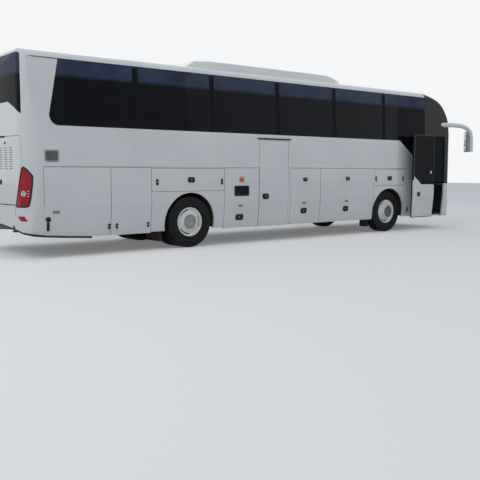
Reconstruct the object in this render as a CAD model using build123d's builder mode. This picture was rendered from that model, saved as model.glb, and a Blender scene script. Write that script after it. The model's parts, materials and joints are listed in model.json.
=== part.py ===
from build123d import *
import os
from math import cos, radians, sin

os.makedirs("parts", exist_ok=True)

# High deck coach, in millimetres. X points forward, Y to the left, Z up, the road is at Z = 0.

# Body envelope
half_width = 1275
front_x = 5775
front_bow = 45
rear_x = -6300
rear_bow = 60
skirt_z = 320
sill_crease_z = 900
glass_sill_z = 2300
gutter_z = 3446
shoulder_y = 1000
shoulder_z = 3583
crown_z = 3610
tuck_in = 60
tumblehome = 60
front_corner_r = 130
rear_corner_r = 270

# Wall build up
wall = 40
pane = 8
shut_gap = 8
past_wall = 1500
top_space = 4000

# Wheels and axles
front_axle_x = 3200
rear_axle_x = -2860
axle_z = 512
tyre_r = 512
tyre_w = 290
rim_r = 286
arch_r = 600
arch_z = 495
front_tyre_y = 1050
kingpin_y = 900
twin_outer_y = 1095
twin_inner_y = 755

# Floors
deck_z = 1420
deck_t = 40
bay_floor_z = 400
bay_floor_t = 30
cab_floor_z = 950
bulkhead_t = 30

# Doorways, as the limits of the closed leaf
front_door_x = (4630, 5470)
front_door_z = (340, 2450)
mid_door_x = (-1080, -250)
mid_door_z = (340, 2190)
door_arm = 440
door_swing = 143
post_y = 1120
post_r = 24


def finish(builder, label):
    builder.part.label = label
    export_step(builder.part, f"parts/{label}.step")


def block(x, y, z, mode=Mode.ADD):
    # A box between three pairs of limits
    with Locations(((x[0] + x[1]) / 2, (y[0] + y[1]) / 2, (z[0] + z[1]) / 2)):
        Box(x[1] - x[0], y[1] - y[0], z[1] - z[0], mode=mode)


def rod(x, y, z, radius, length, axis, mode=Mode.ADD):
    # A round bar centred on a point, along one of the three axes
    turn = {"X": (0, 90, 0), "Y": (90, 0, 0), "Z": (0, 0, 0)}[axis]
    with Locations((x, y, z)):
        Cylinder(radius, length, rotation=turn, mode=mode)


def bar(x, y, z, radius, length, axis, sides, mode=Mode.ADD):
    # A many sided bar centred on a point, with corners towards the four sides
    across = (0, 1, 0) if axis == "X" else (1, 0, 0)
    normal = {"X": (1, 0, 0), "Y": (0, 1, 0), "Z": (0, 0, 1)}[axis]
    with BuildSketch(Plane((x, y, z), x_dir=across, z_dir=normal)) as section:
        RegularPolygon(radius, sides)
    extrude(section.sketch, amount=length / 2, both=True, mode=mode)


def side_range(side, depth):
    # Limits across the body of a strip along one side, side is 1 left and -1 right
    return sorted((side * (half_width + 10), side * (half_width - depth)))


def envelope(inset):
    # The space inside the outer skin, moved inwards by the inset: three views intersected
    nose_x = front_x - front_bow
    tail_x = rear_x + rear_bow
    with BuildPart() as hull:
        with BuildSketch(Plane.XZ):
            with BuildLine():
                Polyline((-5000, skirt_z), (front_x - 60, skirt_z), (front_x - 15, 450), (front_x, 1085),
                         (front_x - 135, 2830))
                ThreePointArc((front_x - 135, 2830), (front_x - 295, 3140), (front_x - 615, 3385))
                Polyline((front_x - 615, 3385), (4500, 3605), (4300, 3700), (-6150, 3700), (-6260, 3540),
                         (rear_x, 3300), (rear_x, 900), (-6245, 475), (-6160, 450), (-5905, 388),
                         (-5000, skirt_z))
            make_face()
            if inset:
                offset(amount=-inset)
        extrude(amount=2 * half_width, both=True)
        with BuildSketch(Plane.YZ):
            with BuildLine() as right_half:
                Polyline((0, skirt_z), (half_width - tuck_in, skirt_z), (half_width, sill_crease_z),
                         (half_width, glass_sill_z), (half_width - tumblehome, gutter_z))
                ThreePointArc((half_width - tumblehome, gutter_z), (1138, 3540), (shoulder_y, shoulder_z))
                ThreePointArc((shoulder_y, shoulder_z), (shoulder_y / 2, 3603), (0, crown_z))
                mirror(about=Plane.YZ)
            make_face()
            if inset:
                offset(amount=-inset)
        extrude(amount=2 * front_x, both=True, mode=Mode.INTERSECT)
        with BuildSketch(Plane.XY) as plan:
            with BuildLine():
                ThreePointArc((nose_x, -half_width), (front_x, 0), (nose_x, half_width))
                Line((nose_x, half_width), (tail_x, half_width))
                ThreePointArc((tail_x, half_width), (rear_x, 0), (tail_x, -half_width))
                Line((tail_x, -half_width), (nose_x, -half_width))
            make_face()
            fillet(plan.vertices().sort_by(Axis.X)[:2], rear_corner_r)
            fillet(plan.vertices().sort_by(Axis.X)[-2:], front_corner_r)
            if inset:
                offset(amount=-inset)
        extrude(amount=2 * crown_z, mode=Mode.INTERSECT)
    return hull.part


outer_space = envelope(0)
behind_glass = envelope(pane)
inner_space = envelope(wall)

with BuildPart() as wall_shell:
    add(outer_space)
    add(inner_space, mode=Mode.SUBTRACT)

with BuildPart() as glass_shell:
    add(outer_space)
    add(behind_glass, mode=Mode.SUBTRACT)


# Side glazing: one bonded band on each side, flush with the skin, round at its rear lower corner
cap_x = front_door_x[0] - shut_gap
glass_corner_r = 170
glass_outlines = {
    -1: [(-5818, glass_sill_z), (3580, glass_sill_z), (4160, 1900), (cap_x, 1900), (cap_x, gutter_z),
         (-5580, gutter_z)],
    1: [(-5818, glass_sill_z), (3580, glass_sill_z), (4160, 1800), (5280, 1800), (5280, 2900),
        (cap_x, gutter_z), (-5580, gutter_z)],
}
side_names = {-1: "right", 1: "left"}
side_glass = {}
for side, outline in glass_outlines.items():
    with BuildPart() as glazing:
        add(glass_shell.part)
        with BuildSketch(Plane.XZ) as band:
            Polygon(*outline, align=None)
            fillet(band.vertices().sort_by(Axis.X)[:1], glass_corner_r)
        extrude(amount=-side * 2 * half_width, mode=Mode.INTERSECT)
        block((rear_x, front_x), side_range(side, 220), (0, top_space), mode=Mode.INTERSECT)
    finish(glazing, f"side_glass_{side_names[side]}")
    side_glass[side] = glazing.part


# Flaps along the skirts: name, side, first x, last x, bottom z, top z
flap_table = [
    ("flap_right_rear_service", -1, -5905, -4630, 340, 1585),
    ("flap_right_rear_locker", -1, -4620, -3770, 340, 1585),
    ("flap_right_rear_wheel", -1, -3760, -2025, 1130, 1570),
    ("flap_right_filler", -1, -2015, -1095, 340, 1585),
    ("flap_right_luggage_rear", -1, -170, 755, 340, 1585),
    ("flap_right_luggage_front", -1, 765, 2610, 340, 1585),
    ("flap_right_front_wheel", -1, 2620, 3800, 1170, 1570),
    ("flap_left_rear_service", 1, -5905, -4630, 340, 1585),
    ("flap_left_rear_locker", 1, -4620, -3770, 340, 1585),
    ("flap_left_rear_wheel", 1, -3760, -2025, 1130, 1570),
    ("flap_left_luggage_rear", 1, -2015, -250, 340, 1585),
    ("flap_left_luggage_mid", 1, -240, 1190, 340, 1585),
    ("flap_left_luggage_front", 1, 1200, 2610, 340, 1585),
    ("flap_left_front_wheel", 1, 2620, 3800, 1170, 1570),
]

# Grilles in the sides: x limits, z limits
vent_x = (-5888, -5622)
vent_z = (1672, 1884)
filler_grille_x = (-1768, -1368)
filler_grille_z = (1002, 1220)
grille_frame = 16
grille_depth = 34
grille_proud = 4
grille_corner = 34
grille_fit = 1
slat_t = 8
slat_pitch = 26


def grille_room(x, y, z, inset, mode=Mode.ADD):
    # A box with its upright corners cut off, smaller by the inset on all four edges
    with BuildSketch(Plane.XZ.offset(-y[1])) as face:
        with Locations(((x[0] + x[1]) / 2, (z[0] + z[1]) / 2)):
            Rectangle(x[1] - x[0] - 2 * inset, z[1] - z[0] - 2 * inset)
        chamfer(face.vertices(), grille_corner - inset / 2)
    extrude(face.sketch, amount=y[1] - y[0], mode=mode)


def add_grille(side, x, z):
    # Frame with level slats, set in an opening of the same limits
    low, high = half_width + grille_proud, half_width - grille_depth
    y = sorted((side * low, side * high))
    grille_room(x, y, z, grille_fit)
    grille_room(x, y, z, grille_frame, mode=Mode.SUBTRACT)
    slat_y = sorted((side * (half_width - 6), side * high))
    count = int((z[1] - z[0] - 2 * grille_frame) / slat_pitch)
    first = (z[0] + z[1] - (count - 1) * slat_pitch) / 2
    for row in range(count):
        middle = first + row * slat_pitch
        block((x[0] + grille_frame - 2, x[1] - grille_frame + 2), slat_y,
              (middle - slat_t / 2, middle + slat_t / 2))


with BuildPart() as side_vents:
    for side in (-1, 1):
        add_grille(side, vent_x, vent_z)
finish(side_vents, "side_vents")

with BuildPart() as filler_grille:
    add_grille(-1, filler_grille_x, filler_grille_z)
finish(filler_grille, "filler_grille")

for name, side, x0, x1, z0, z1 in flap_table:
    with BuildPart() as flap:
        add(wall_shell.part)
        block((x0, x1), side_range(side, 90), (z0, z1), mode=Mode.INTERSECT)
        if name == "flap_right_filler":
            grille_room(filler_grille_x, side_range(side, 90), filler_grille_z, 0, mode=Mode.SUBTRACT)
    finish(flap, name)


def cut_skirt(side, first_x, last_x):
    # Openings for the flaps and the wheels of one side, with their shut gaps
    for name, flap_side, x0, x1, z0, z1 in flap_table:
        if flap_side == side and first_x < x0 < last_x:
            low = 0 if z0 < 400 else z0 - shut_gap
            block((x0 - shut_gap, x1 + shut_gap), side_range(side, 240), (low, z1 + shut_gap),
                  mode=Mode.SUBTRACT)
    for axle_x in (front_axle_x, rear_axle_x):
        rod(axle_x, side * half_width, arch_z, arch_r, 400, "Y", mode=Mode.SUBTRACT)


# Windows between the pillars: first x, last x of each opening, right side then left side
window_table = {
    -1: [(-5560, -4420), (-4340, -2930), (-2850, -1440), (-1360, 50), (130, 1540), (1620, 3030),
         (3110, 4500)],
    1: [(-5560, -4420), (-4340, -2930), (-2850, -1440), (-1360, 50), (130, 1540), (1620, 3030),
        (3110, 3900)],
}
window_z = (2360, 3370)
side_end_x = {-1: cap_x, 1: 5292}

# Side walls
rear_side_x = -5905
panel_joint = 2
for side in (-1, 1):
    with BuildPart() as body_side:
        add(wall_shell.part)
        block((rear_side_x, side_end_x[side]), side_range(side, 220), (0, gutter_z), mode=Mode.INTERSECT)
        add(side_glass[side], mode=Mode.SUBTRACT)
        for x0, x1 in window_table[side]:
            block((x0, x1), side_range(side, 300), window_z, mode=Mode.SUBTRACT)
        if side == 1:
            block((4240, 5220), side_range(side, 300), (1880, 2760), mode=Mode.SUBTRACT)
        else:
            block((mid_door_x[0] - shut_gap, mid_door_x[1] + shut_gap), side_range(side, 200),
                  (0, mid_door_z[1] + shut_gap), mode=Mode.SUBTRACT)
            # The wall panels meet over both edges of the middle door
            for joint_x in (mid_door_x[0] - shut_gap - panel_joint, mid_door_x[1] + shut_gap):
                block((joint_x, joint_x + panel_joint), side_range(side, 200), (mid_door_z[1], top_space),
                      mode=Mode.SUBTRACT)
        grille_room(vent_x, side_range(side, 200), vent_z, 0, mode=Mode.SUBTRACT)
        block((rear_side_x - shut_gap, 5000), side_range(side, 1000), (0, skirt_z + 40), mode=Mode.SUBTRACT)
        cut_skirt(side, -6000, 5000)
    finish(body_side, f"body_side_{side_names[side]}")


# Roof air conditioning pod, seated on the roof
pod_x = (-2600, 1890)
pod_half_width = 950
pod_top_z = 3830
with BuildPart() as roof_ac_unit:
    with BuildSketch(Plane.XZ):
        with BuildLine():
            Polyline((pod_x[0], 3500), (pod_x[0], 3620), (-2380, 3780), (-1900, pod_top_z), (900, pod_top_z),
                     (1450, 3790), (1800, 3700), (pod_x[1], 3620), (pod_x[1], 3500), (pod_x[0], 3500))
        make_face()
    extrude(amount=pod_half_width, both=True)
    with BuildSketch(Plane.YZ):
        with BuildLine():
            Polyline((-pod_half_width, 3500), (-pod_half_width, 3660), (-880, 3780), (-720, pod_top_z),
                     (720, pod_top_z), (880, 3780), (pod_half_width, 3660), (pod_half_width, 3500),
                     (-pod_half_width, 3500))
        make_face()
    extrude(amount=front_x, both=True, mode=Mode.INTERSECT)
    add(outer_space, mode=Mode.SUBTRACT)
finish(roof_ac_unit, "roof_ac_unit")


# Windscreen and the front structure round it
screen_z = (1200, 3080)
screen_half_width = 1130
with BuildPart() as windscreen:
    add(glass_shell.part)
    block((5000, front_x + 10), (-screen_half_width, screen_half_width), screen_z, mode=Mode.INTERSECT)
finish(windscreen, "windscreen")

with BuildPart() as front_cap:
    add(wall_shell.part)
    block((cap_x, front_x + 10), (-half_width, half_width), (screen_z[0], top_space), mode=Mode.INTERSECT)
    block((cap_x - 10, side_end_x[1]), side_range(1, 220), (0, gutter_z), mode=Mode.SUBTRACT)
    block((front_door_x[0] - shut_gap, front_door_x[1] + shut_gap), (-half_width - 10, -900),
          (0, front_door_z[1] + shut_gap), mode=Mode.SUBTRACT)
    block((5000, front_x + 10), (-screen_half_width, screen_half_width), screen_z, mode=Mode.SUBTRACT)
finish(front_cap, "front_cap")

# Headlamps at the front corners, seen from the front: distance from the middle, height
headlamp_outline = [(700, 770), (1090, 640), (1190, 700), (1200, 930), (1120, 1010), (770, 880)]
with BuildPart() as headlamps:
    with BuildSketch(Plane.YZ.offset(front_x - 400)):
        for side in (-1, 1):
            Polygon(*[(side * y, z) for y, z in headlamp_outline], align=None)
    extrude(amount=400)
    add(wall_shell.part, mode=Mode.INTERSECT)
finish(headlamps, "headlamps")

# Air slots low in the front: half width, height of one, pitch, how many, middle z
air_slot_half_w = 600
air_slot_h = 26
air_slot_pitch = 52
air_slots = 4
air_slot_z = 545

with BuildPart() as front_fascia:
    add(wall_shell.part)
    block((side_end_x[1], front_x + 10), (-half_width, half_width), (0, screen_z[0]), mode=Mode.INTERSECT)
    block((0, front_door_x[1] + shut_gap), (-half_width, -900), (0, top_space), mode=Mode.SUBTRACT)
    block((0, 5500), (-half_width, half_width), (0, skirt_z + 40), mode=Mode.SUBTRACT)
    add(headlamps.part, mode=Mode.SUBTRACT)
    with BuildSketch(Plane.YZ.offset(front_x - 100)):
        with Locations((0, air_slot_z)):
            with GridLocations(0, air_slot_pitch, 1, air_slots):
                Rectangle(2 * air_slot_half_w, air_slot_h)
    extrude(amount=200, mode=Mode.SUBTRACT)
finish(front_fascia, "front_fascia")


# Rear end: window, engine door, lamps and the fascia that holds them
def rear_prism(corners, rounding=0, gap=0):
    # A prism through the rear wall from an outline in Y and Z, its top corners rounded
    with BuildPart() as prism:
        with BuildSketch(Plane.YZ.offset(rear_x - 20)) as outline:
            Polygon(*corners, align=None)
            if rounding:
                fillet(outline.vertices().group_by(Axis.Y)[-1], rounding)
            if gap:
                offset(amount=-gap)
        extrude(amount=340)
    return prism.part


with BuildPart() as rear_window:
    add(glass_shell.part)
    add(rear_prism([(-1142, 2480), (-955, 2590), (-715, 2702), (715, 2702), (955, 2590), (1142, 2480),
                    (1142, 3480), (1090, 3505), (-1090, 3505), (-1142, 3480)]), mode=Mode.INTERSECT)
finish(rear_window, "rear_window")

# Roof skin behind the front cap, with two escape hatches on its middle
hatch_x = (-4400, 3300)
hatch_size = (760, 600)
hatch_foot_z = 3585
hatch_h = 80
with BuildPart() as roof:
    add(wall_shell.part)
    block((rear_x, cap_x), (-half_width, half_width), (gutter_z, top_space), mode=Mode.INTERSECT)
    add(rear_window.part, mode=Mode.SUBTRACT)
    with BuildSketch(Plane.XY.offset(hatch_foot_z)):
        for x in hatch_x:
            with Locations((x, 0)):
                Rectangle(*hatch_size)
    extrude(amount=hatch_h, taper=20)
finish(roof, "roof")

# Tail lamps wrap the rear corners, their outline is drawn square to the corner: across, height
lamp_outline = [(-267, 905), (-31, 908), (16, 926), (48, 1072), (75, 1283), (83, 1430),
                (3, 1528), (-59, 1580), (-93, 1563), (-165, 1282)]


def lamp_prisms(gap=0):
    # The room of both lamps, with a gap round them
    with BuildPart() as prisms:
        for side in (-1, 1):
            corner_view = Plane(origin=(rear_x + rear_bow, side * half_width, 0), x_dir=(1, side, 0),
                                z_dir=(side, -1, 0))
            with BuildSketch(corner_view):
                Polygon(*lamp_outline, align=None)
                if gap:
                    offset(amount=gap)
            extrude(amount=400, both=True)
    return prisms.part


with BuildPart() as tail_lamps:
    add(wall_shell.part)
    add(lamp_prisms(), mode=Mode.INTERSECT)
finish(tail_lamps, "tail_lamps")

engine_door_corners = [(-915, 930), (915, 930), (1035, 1282), (1118, 1563), (1134, 1640), (1134, 2122),
                       (-1134, 2122), (-1134, 1640), (-1118, 1563), (-1035, 1282)]
engine_door_hole = rear_prism(engine_door_corners, 85)

# Two flat louvre panels let into the bowed engine door, with slots in rows and columns
slot_w = 150
slot_h = 14
slot_pitch_y = 216
slot_pitch_z = 40
slot_columns = 3
slot_group_y = 541
slot_rows = 10
slot_middle_z = 1738
louvre_panel_w = 642
louvre_panel_h = 436
louvre_panel_t = 30
rear_bow_r = (half_width ** 2 + rear_bow ** 2) / (2 * rear_bow)
louvre_panel_x = rear_x + (slot_group_y ** 2 + (louvre_panel_w / 2) ** 2) / (2 * rear_bow_r)
with BuildPart() as engine_door:
    add(wall_shell.part)
    add(rear_prism(engine_door_corners, 85, shut_gap), mode=Mode.INTERSECT)
    for side in (-1, 1):
        slope = side * slot_group_y / rear_bow_r
        louvre_plane = Plane(origin=(louvre_panel_x, side * slot_group_y, slot_middle_z), x_dir=(slope, 1, 0),
                             z_dir=(-1, slope, 0))
        with BuildSketch(louvre_plane):
            Rectangle(louvre_panel_w, louvre_panel_h)
        extrude(amount=2 * wall, both=True, mode=Mode.SUBTRACT)
        with BuildSketch(louvre_plane):
            Rectangle(louvre_panel_w, louvre_panel_h)
            with GridLocations(slot_pitch_y, slot_pitch_z, slot_columns, slot_rows):
                Rectangle(slot_w, slot_h, mode=Mode.SUBTRACT)
        extrude(amount=-louvre_panel_t)
    add(lamp_prisms(shut_gap), mode=Mode.SUBTRACT)
finish(engine_door, "engine_door")

# Gap between engine door and bumper, and the foot of the bumper, which rises towards its middle
bumper_gap = (922, 940)
bumper_foot = [(-1000, 400), (1000, 400), (1000, 470), (190, 546), (-190, 546), (-1000, 470)]
with BuildPart() as rear_fascia:
    add(wall_shell.part)
    block((rear_x - 10, rear_side_x), (-half_width, half_width), (0, gutter_z), mode=Mode.INTERSECT)
    add(rear_window.part, mode=Mode.SUBTRACT)
    block((rear_x - 10, -5950), (-1000, 1000), (2760, 3380), mode=Mode.SUBTRACT)
    add(engine_door_hole, mode=Mode.SUBTRACT)
    add(tail_lamps.part, mode=Mode.SUBTRACT)
    block((rear_x - 10, rear_x + 200), (-900, 900), bumper_gap, mode=Mode.SUBTRACT)
    block((-6240, -5800), (-1180, 1180), (0, 560), mode=Mode.SUBTRACT)
    add(rear_prism(bumper_foot), mode=Mode.SUBTRACT)
finish(rear_fascia, "rear_fascia")


# Underframe: front and rear pairs of rails with cross members and towing lugs
rail_y = (400, 460)
rail_z = (640, 800)
rail_runs = [(2570, 5480), (-6200, -2210)]
# Cross members: first x, last x, half width
cross_members = [(2700, 2760, 400), (3700, 3760, 400), (5300, 5360, 400), (-6150, -6080, 760),
                 (-3400, -3340, 400), (-2400, -2340, 400)]
tow_bore_r = 21
tow_plate_t = 24
front_tow = (5430, 430, 300)
rear_tow = (-6215, -745, 462)
with BuildPart() as chassis:
    for x0, x1 in rail_runs:
        for side in (-1, 1):
            block((x0, x1), sorted((side * rail_y[0], side * rail_y[1])), rail_z)
    for x0, x1, half in cross_members:
        block((x0, x1), (-half, half), rail_z)
    block((front_tow[0] - 50, front_tow[0] + 50),
          (front_tow[1] - tow_plate_t / 2, front_tow[1] + tow_plate_t / 2), (front_tow[2] - 45, rail_z[0]))
    block((rear_tow[0] - 45, rear_tow[0] + 135), (rear_tow[1] - 45, rear_tow[1] + 45),
          (rear_tow[2] - tow_plate_t / 2, rear_tow[2] + tow_plate_t / 2))
    block((rear_tow[0] + 65, rear_tow[0] + 135),
          (rear_tow[1] - tow_plate_t / 2, rear_tow[1] + tow_plate_t / 2), (rear_tow[2], rail_z[0]))
    rod(*front_tow, tow_bore_r, 2 * tow_plate_t, "Y", mode=Mode.SUBTRACT)
    rod(*rear_tow, tow_bore_r, 2 * tow_plate_t, "Z", mode=Mode.SUBTRACT)
finish(chassis, "chassis")

# Decks, luggage bay floor, bulkheads, stairs and the cab floor
narrow_bulkheads_x = [2540]
wide_bulkheads_x = [-3540, -2210, 3850]
bay_half_width = 1140
cab_edge_y = 380
well_y = -1160
# Stair treads: first x, last x, first y, last y, top z, top z of the riser behind
tread_table = [
    (4622, 5490, well_y, -950, 360, 660),
    (4622, 5490, -950, -660, 660, cab_floor_z - deck_t),
    (-1088, -242, well_y, -980, 360, 620),
    (-1088, -242, -980, -800, 620, 880),
    (-1088, -242, -800, -620, 880, 1140),
    (-1088, -242, -620, -440, 1140, deck_z - deck_t),
]
tread_t = 30
mid_well = (mid_door_x[0] - shut_gap, mid_door_x[1] + shut_gap)
front_well_x = front_door_x[0] - shut_gap
with BuildPart() as deck:
    block((-5850, 4050), (-past_wall, past_wall), (deck_z - deck_t, deck_z))
    block((4050, front_well_x), (-past_wall, -cab_edge_y), (deck_z - deck_t, deck_z))
    block((4020, 4050), (-cab_edge_y, past_wall), (cab_floor_z - deck_t, deck_z - deck_t))
    block((4050, 5560), (-cab_edge_y, past_wall), (cab_floor_z - deck_t, cab_floor_z))
    block((front_well_x, 5560), (-660, -cab_edge_y), (cab_floor_z - deck_t, cab_floor_z))
    block(mid_well, (-past_wall, -440), (0, deck_z), mode=Mode.SUBTRACT)
    add(inner_space, mode=Mode.INTERSECT)
finish(deck, "deck")

with BuildPart() as luggage_bay:
    for x0, x1 in ((-2210, 2570), (3850, front_well_x - tread_t)):
        block((x0, x1), (-bay_half_width, bay_half_width), (bay_floor_z, bay_floor_z + bay_floor_t))
    for x in narrow_bulkheads_x:
        block((x, x + bulkhead_t), (-bay_half_width, bay_half_width), (bay_floor_z, deck_z - deck_t))
    for x in wide_bulkheads_x:
        block((x, x + bulkhead_t), (-past_wall, past_wall), (bay_floor_z, deck_z - deck_t))
    block((mid_well[0] - tread_t, mid_well[1] + tread_t), (-past_wall, -440 + tread_t), (0, deck_z),
          mode=Mode.SUBTRACT)
    add(inner_space, mode=Mode.INTERSECT)
    add(chassis.part, mode=Mode.SUBTRACT)
finish(luggage_bay, "luggage_bay")

with BuildPart() as stairs:
    for x0, x1, y0, y1, top, riser_top in tread_table:
        block((x0, x1), (y0, y1), (top - tread_t, top))
        block((x0, x1), (y1, y1 + tread_t), (top - tread_t, riser_top))
    for x in (mid_well[0] - tread_t, mid_well[1]):
        block((x, x + tread_t), (well_y, -440 + tread_t), (330, deck_z - deck_t))
    block((front_well_x - tread_t, front_well_x), (well_y, -660 + tread_t), (330, deck_z - deck_t))
finish(stairs, "stairs")

# Engine, one plain block between the rear rails
with BuildPart() as engine_block:
    block((-6060, -4900), (-rail_y[0], rail_y[0]), (480, 1260))
    chamfer(engine_block.edges().filter_by(Axis.X), 60)
    add(chassis.part, mode=Mode.SUBTRACT)
finish(engine_block, "engine_block")

# Front axle beam with its kingpin eyes and air springs
eye_r = 45
eye_h = 120
pin_r = 20
pin_clearance = 2
spring_r = 110
spring_y = 430
beam_h = 90
with BuildPart() as front_axle_beam:
    beam_top_z = axle_z + beam_h / 2
    spring_h = rail_z[0] - beam_top_z
    block((front_axle_x - 40, front_axle_x + 40), (-kingpin_y, kingpin_y), (axle_z - beam_h / 2, beam_top_z))
    for side in (-1, 1):
        bar(front_axle_x, side * kingpin_y, axle_z, eye_r, eye_h, "Z", 12)
        bar(front_axle_x, side * spring_y, beam_top_z + spring_h / 2, spring_r, spring_h, "Z", 12)
    for side in (-1, 1):
        rod(front_axle_x, side * kingpin_y, axle_z, pin_r + pin_clearance, eye_h, "Z", mode=Mode.SUBTRACT)
finish(front_axle_beam, "front_axle_beam")

# Rear axle housing with its air springs
axle_tube_r = 65
gear_case_r = 190
spring_seat_z = 590
with BuildPart() as rear_axle_housing:
    bar(rear_axle_x, 0, axle_z, axle_tube_r, 1980, "Y", 16)
    bar(rear_axle_x, 0, axle_z, gear_case_r, 180, "Y", 16)
    bar(rear_axle_x, 0, axle_z, gear_case_r - 50, 340, "Y", 12)
    bar(rear_axle_x - 200, 0, axle_z, 90, 200, "X", 12)
    spring_h = rail_z[0] - spring_seat_z
    for side in (-1, 1):
        block((rear_axle_x - 90, rear_axle_x + 90), sorted((side * 370, side * 490)), (axle_z, spring_seat_z))
        bar(rear_axle_x, side * spring_y, spring_seat_z + spring_h / 2, spring_r, spring_h, "Z", 12)
finish(rear_axle_housing, "rear_axle_housing")

# Steering knuckles: fork, kingpin and spindle
fork_t = 25
fork_gap = 2
spindle_r = 38
for side in (-1, 1):
    with BuildPart() as knuckle:
        eye_top = eye_h / 2 + fork_gap
        for low in (eye_top, -eye_top - fork_t):
            block((front_axle_x - 45, front_axle_x + 45), sorted((side * (kingpin_y - 45), side * 990)),
                  (axle_z + low, axle_z + low + fork_t))
        block((front_axle_x - 40, front_axle_x + 40), sorted((side * 955, side * 990)),
              (axle_z - eye_top, axle_z + eye_top))
        bar(front_axle_x, side * kingpin_y, axle_z, pin_r, eye_h + 2 * fork_gap, "Z", 12)
        bar(front_axle_x, side * 1055, axle_z, spindle_r, 130, "Y", 16)
    finish(knuckle, f"knuckle_{side_names[side]}")

# Tyres and wheels: corner name, side, axle x, centres of its tyres along Y, y of the disc, front or rear
corner_table = [
    ("front_left", 1, front_axle_x, [front_tyre_y], 1130),
    ("front_right", -1, front_axle_x, [front_tyre_y], 1130),
    ("rear_left", 1, rear_axle_x, [twin_outer_y, twin_inner_y], 925),
    ("rear_right", -1, rear_axle_x, [twin_outer_y, twin_inner_y], 925),
]
wheel_sides = 24
tread_shoulder = 36
barrel_t = 14
disc_t = 16
dish_depth = 100
dish_r = 245
# Slots near the edge of the wheel disc: how many, on which radius, width and length
disc_slots = 5
slot_circle_r = 218
disc_slot = (20, 120)
for name, side, axle_x, centres, disc_y in corner_table:
    front = len(centres) == 1
    with BuildPart() as tyre:
        for centre in centres:
            bar(axle_x, side * centre, axle_z, tyre_r, tyre_w, "Y", wheel_sides)
        past_inner_twin = twin_inner_y + tyre_w / 2 + 1
        walls = [face for face in tyre.faces().filter_by(Axis.Y) if abs(face.center().Y) > past_inner_twin]
        chamfer([edge for face in walls for edge in face.edges()], tread_shoulder)
        for centre in centres:
            bar(axle_x, side * centre, axle_z, rim_r, tyre_w, "Y", wheel_sides, mode=Mode.SUBTRACT)
    finish(tyre, f"tyre_{name}")

    with BuildPart() as rim:
        for centre in centres:
            bar(axle_x, side * centre, axle_z, rim_r, tyre_w - 30, "Y", wheel_sides)
            bar(axle_x, side * centre, axle_z, rim_r - barrel_t, tyre_w, "Y", wheel_sides, mode=Mode.SUBTRACT)
        if front:
            bar(axle_x, side * disc_y, axle_z, rim_r - 5, disc_t, "Y", wheel_sides)
        else:
            bar(axle_x, side * disc_y, axle_z, rim_r - 5, dish_depth, "Y", wheel_sides)
            hollow = 2 * (dish_depth - disc_t)
            for dish_y in (disc_y - dish_depth, disc_y + dish_depth):
                bar(axle_x, side * dish_y, axle_z, dish_r, hollow, "Y", wheel_sides, mode=Mode.SUBTRACT)
        with BuildSketch(Plane((axle_x, side * disc_y, axle_z), x_dir=(1, 0, 0), z_dir=(0, 1, 0))):
            with PolarLocations(slot_circle_r, disc_slots):
                Rectangle(*disc_slot)
        extrude(amount=dish_depth, both=True, mode=Mode.SUBTRACT)
        if front:
            bar(axle_x, side * 1077, axle_z, 112, 150, "Y", 24)
            rod(axle_x, side * 1060, axle_z, spindle_r + 2, 150, "Y", mode=Mode.SUBTRACT)
        else:
            bar(axle_x, side * 880, axle_z, 140, 300, "Y", 24)
            rod(axle_x, side * 850, axle_z, axle_tube_r + 2, 300, "Y", mode=Mode.SUBTRACT)
    finish(rim, f"rim_{name}")

# Wheel housings between the bulkheads: a top and an inner wall on each side, with mudflaps
mudflap_t = 12
housing_y = (470, 480)
housing_top_z = (1108, 1118)
# Along the body: first x, last x, mudflap x, inner edge and outer edge of the mudflap
housing_table = [(2570, 3850, 2570, 860, 1130), (-3510, -2210, -3510, 620, 1170)]
with BuildPart() as wheel_housings:
    for x0, x1, flap_x, flap_inner, flap_outer in housing_table:
        for side in (-1, 1):
            block((x0, x1), sorted((side * housing_y[0], side * (half_width - wall))), housing_top_z)
            block((x0, x1), sorted((side * housing_y[0], side * housing_y[1])), (rail_z[1], housing_top_z[0]))
            block((flap_x, flap_x + mudflap_t), sorted((side * flap_inner, side * flap_outer)), (150, 520))
finish(wheel_housings, "wheel_housings")

# Passenger seats in pairs on each side of the aisle, none over the stairs
seat_pitch = 790
seat_rows = 12
first_row_x = -5180
last_row_x = 3900
seat_y = (310, 1190)
with BuildPart() as passenger_seats:
    for side in (-1, 1):
        for row in range(seat_rows):
            x = first_row_x + seat_pitch * row
            over_stairs = side == -1 and mid_door_x[0] - 480 < x < mid_door_x[1] + 80
            if not over_stairs and x < last_row_x:
                with BuildSketch(Plane.XZ.offset(-side * seat_y[0])):
                    with Locations((x, deck_z)):
                        Polygon((0, 360), (470, 400), (470, 500), (60, 460), (-140, 1150), (-230, 1150),
                                align=None)
                extrude(amount=-side * (seat_y[1] - seat_y[0]))
                block((x + 80, x + 340), sorted((side * 500, side * 1000)), (deck_z, deck_z + 385))
finish(passenger_seats, "passenger_seats")

# Cab: driver's seat, dashboard and steering wheel
driver_x = 4380
driver_y = (390, 890)
with BuildPart() as driver_seat:
    with BuildSketch(Plane.XZ.offset(-driver_y[0])):
        with Locations((driver_x, cab_floor_z)):
            Polygon((0, 380), (470, 400), (470, 500), (60, 480), (-100, 1200), (-190, 1200), align=None)
    extrude(amount=-(driver_y[1] - driver_y[0]))
    block((driver_x + 80, driver_x + 360), (500, 780), (cab_floor_z, cab_floor_z + 400))
finish(driver_seat, "driver_seat")

with BuildPart() as dashboard:
    with BuildSketch(Plane.XZ.offset(300)):
        Polygon((5200, cab_floor_z), (5800, cab_floor_z), (5800, 1560), (5350, 1640), (5130, 1560),
                (5170, 1300), align=None)
    extrude(amount=-1700)
    add(inner_space, mode=Mode.INTERSECT)
finish(dashboard, "dashboard")

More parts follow.
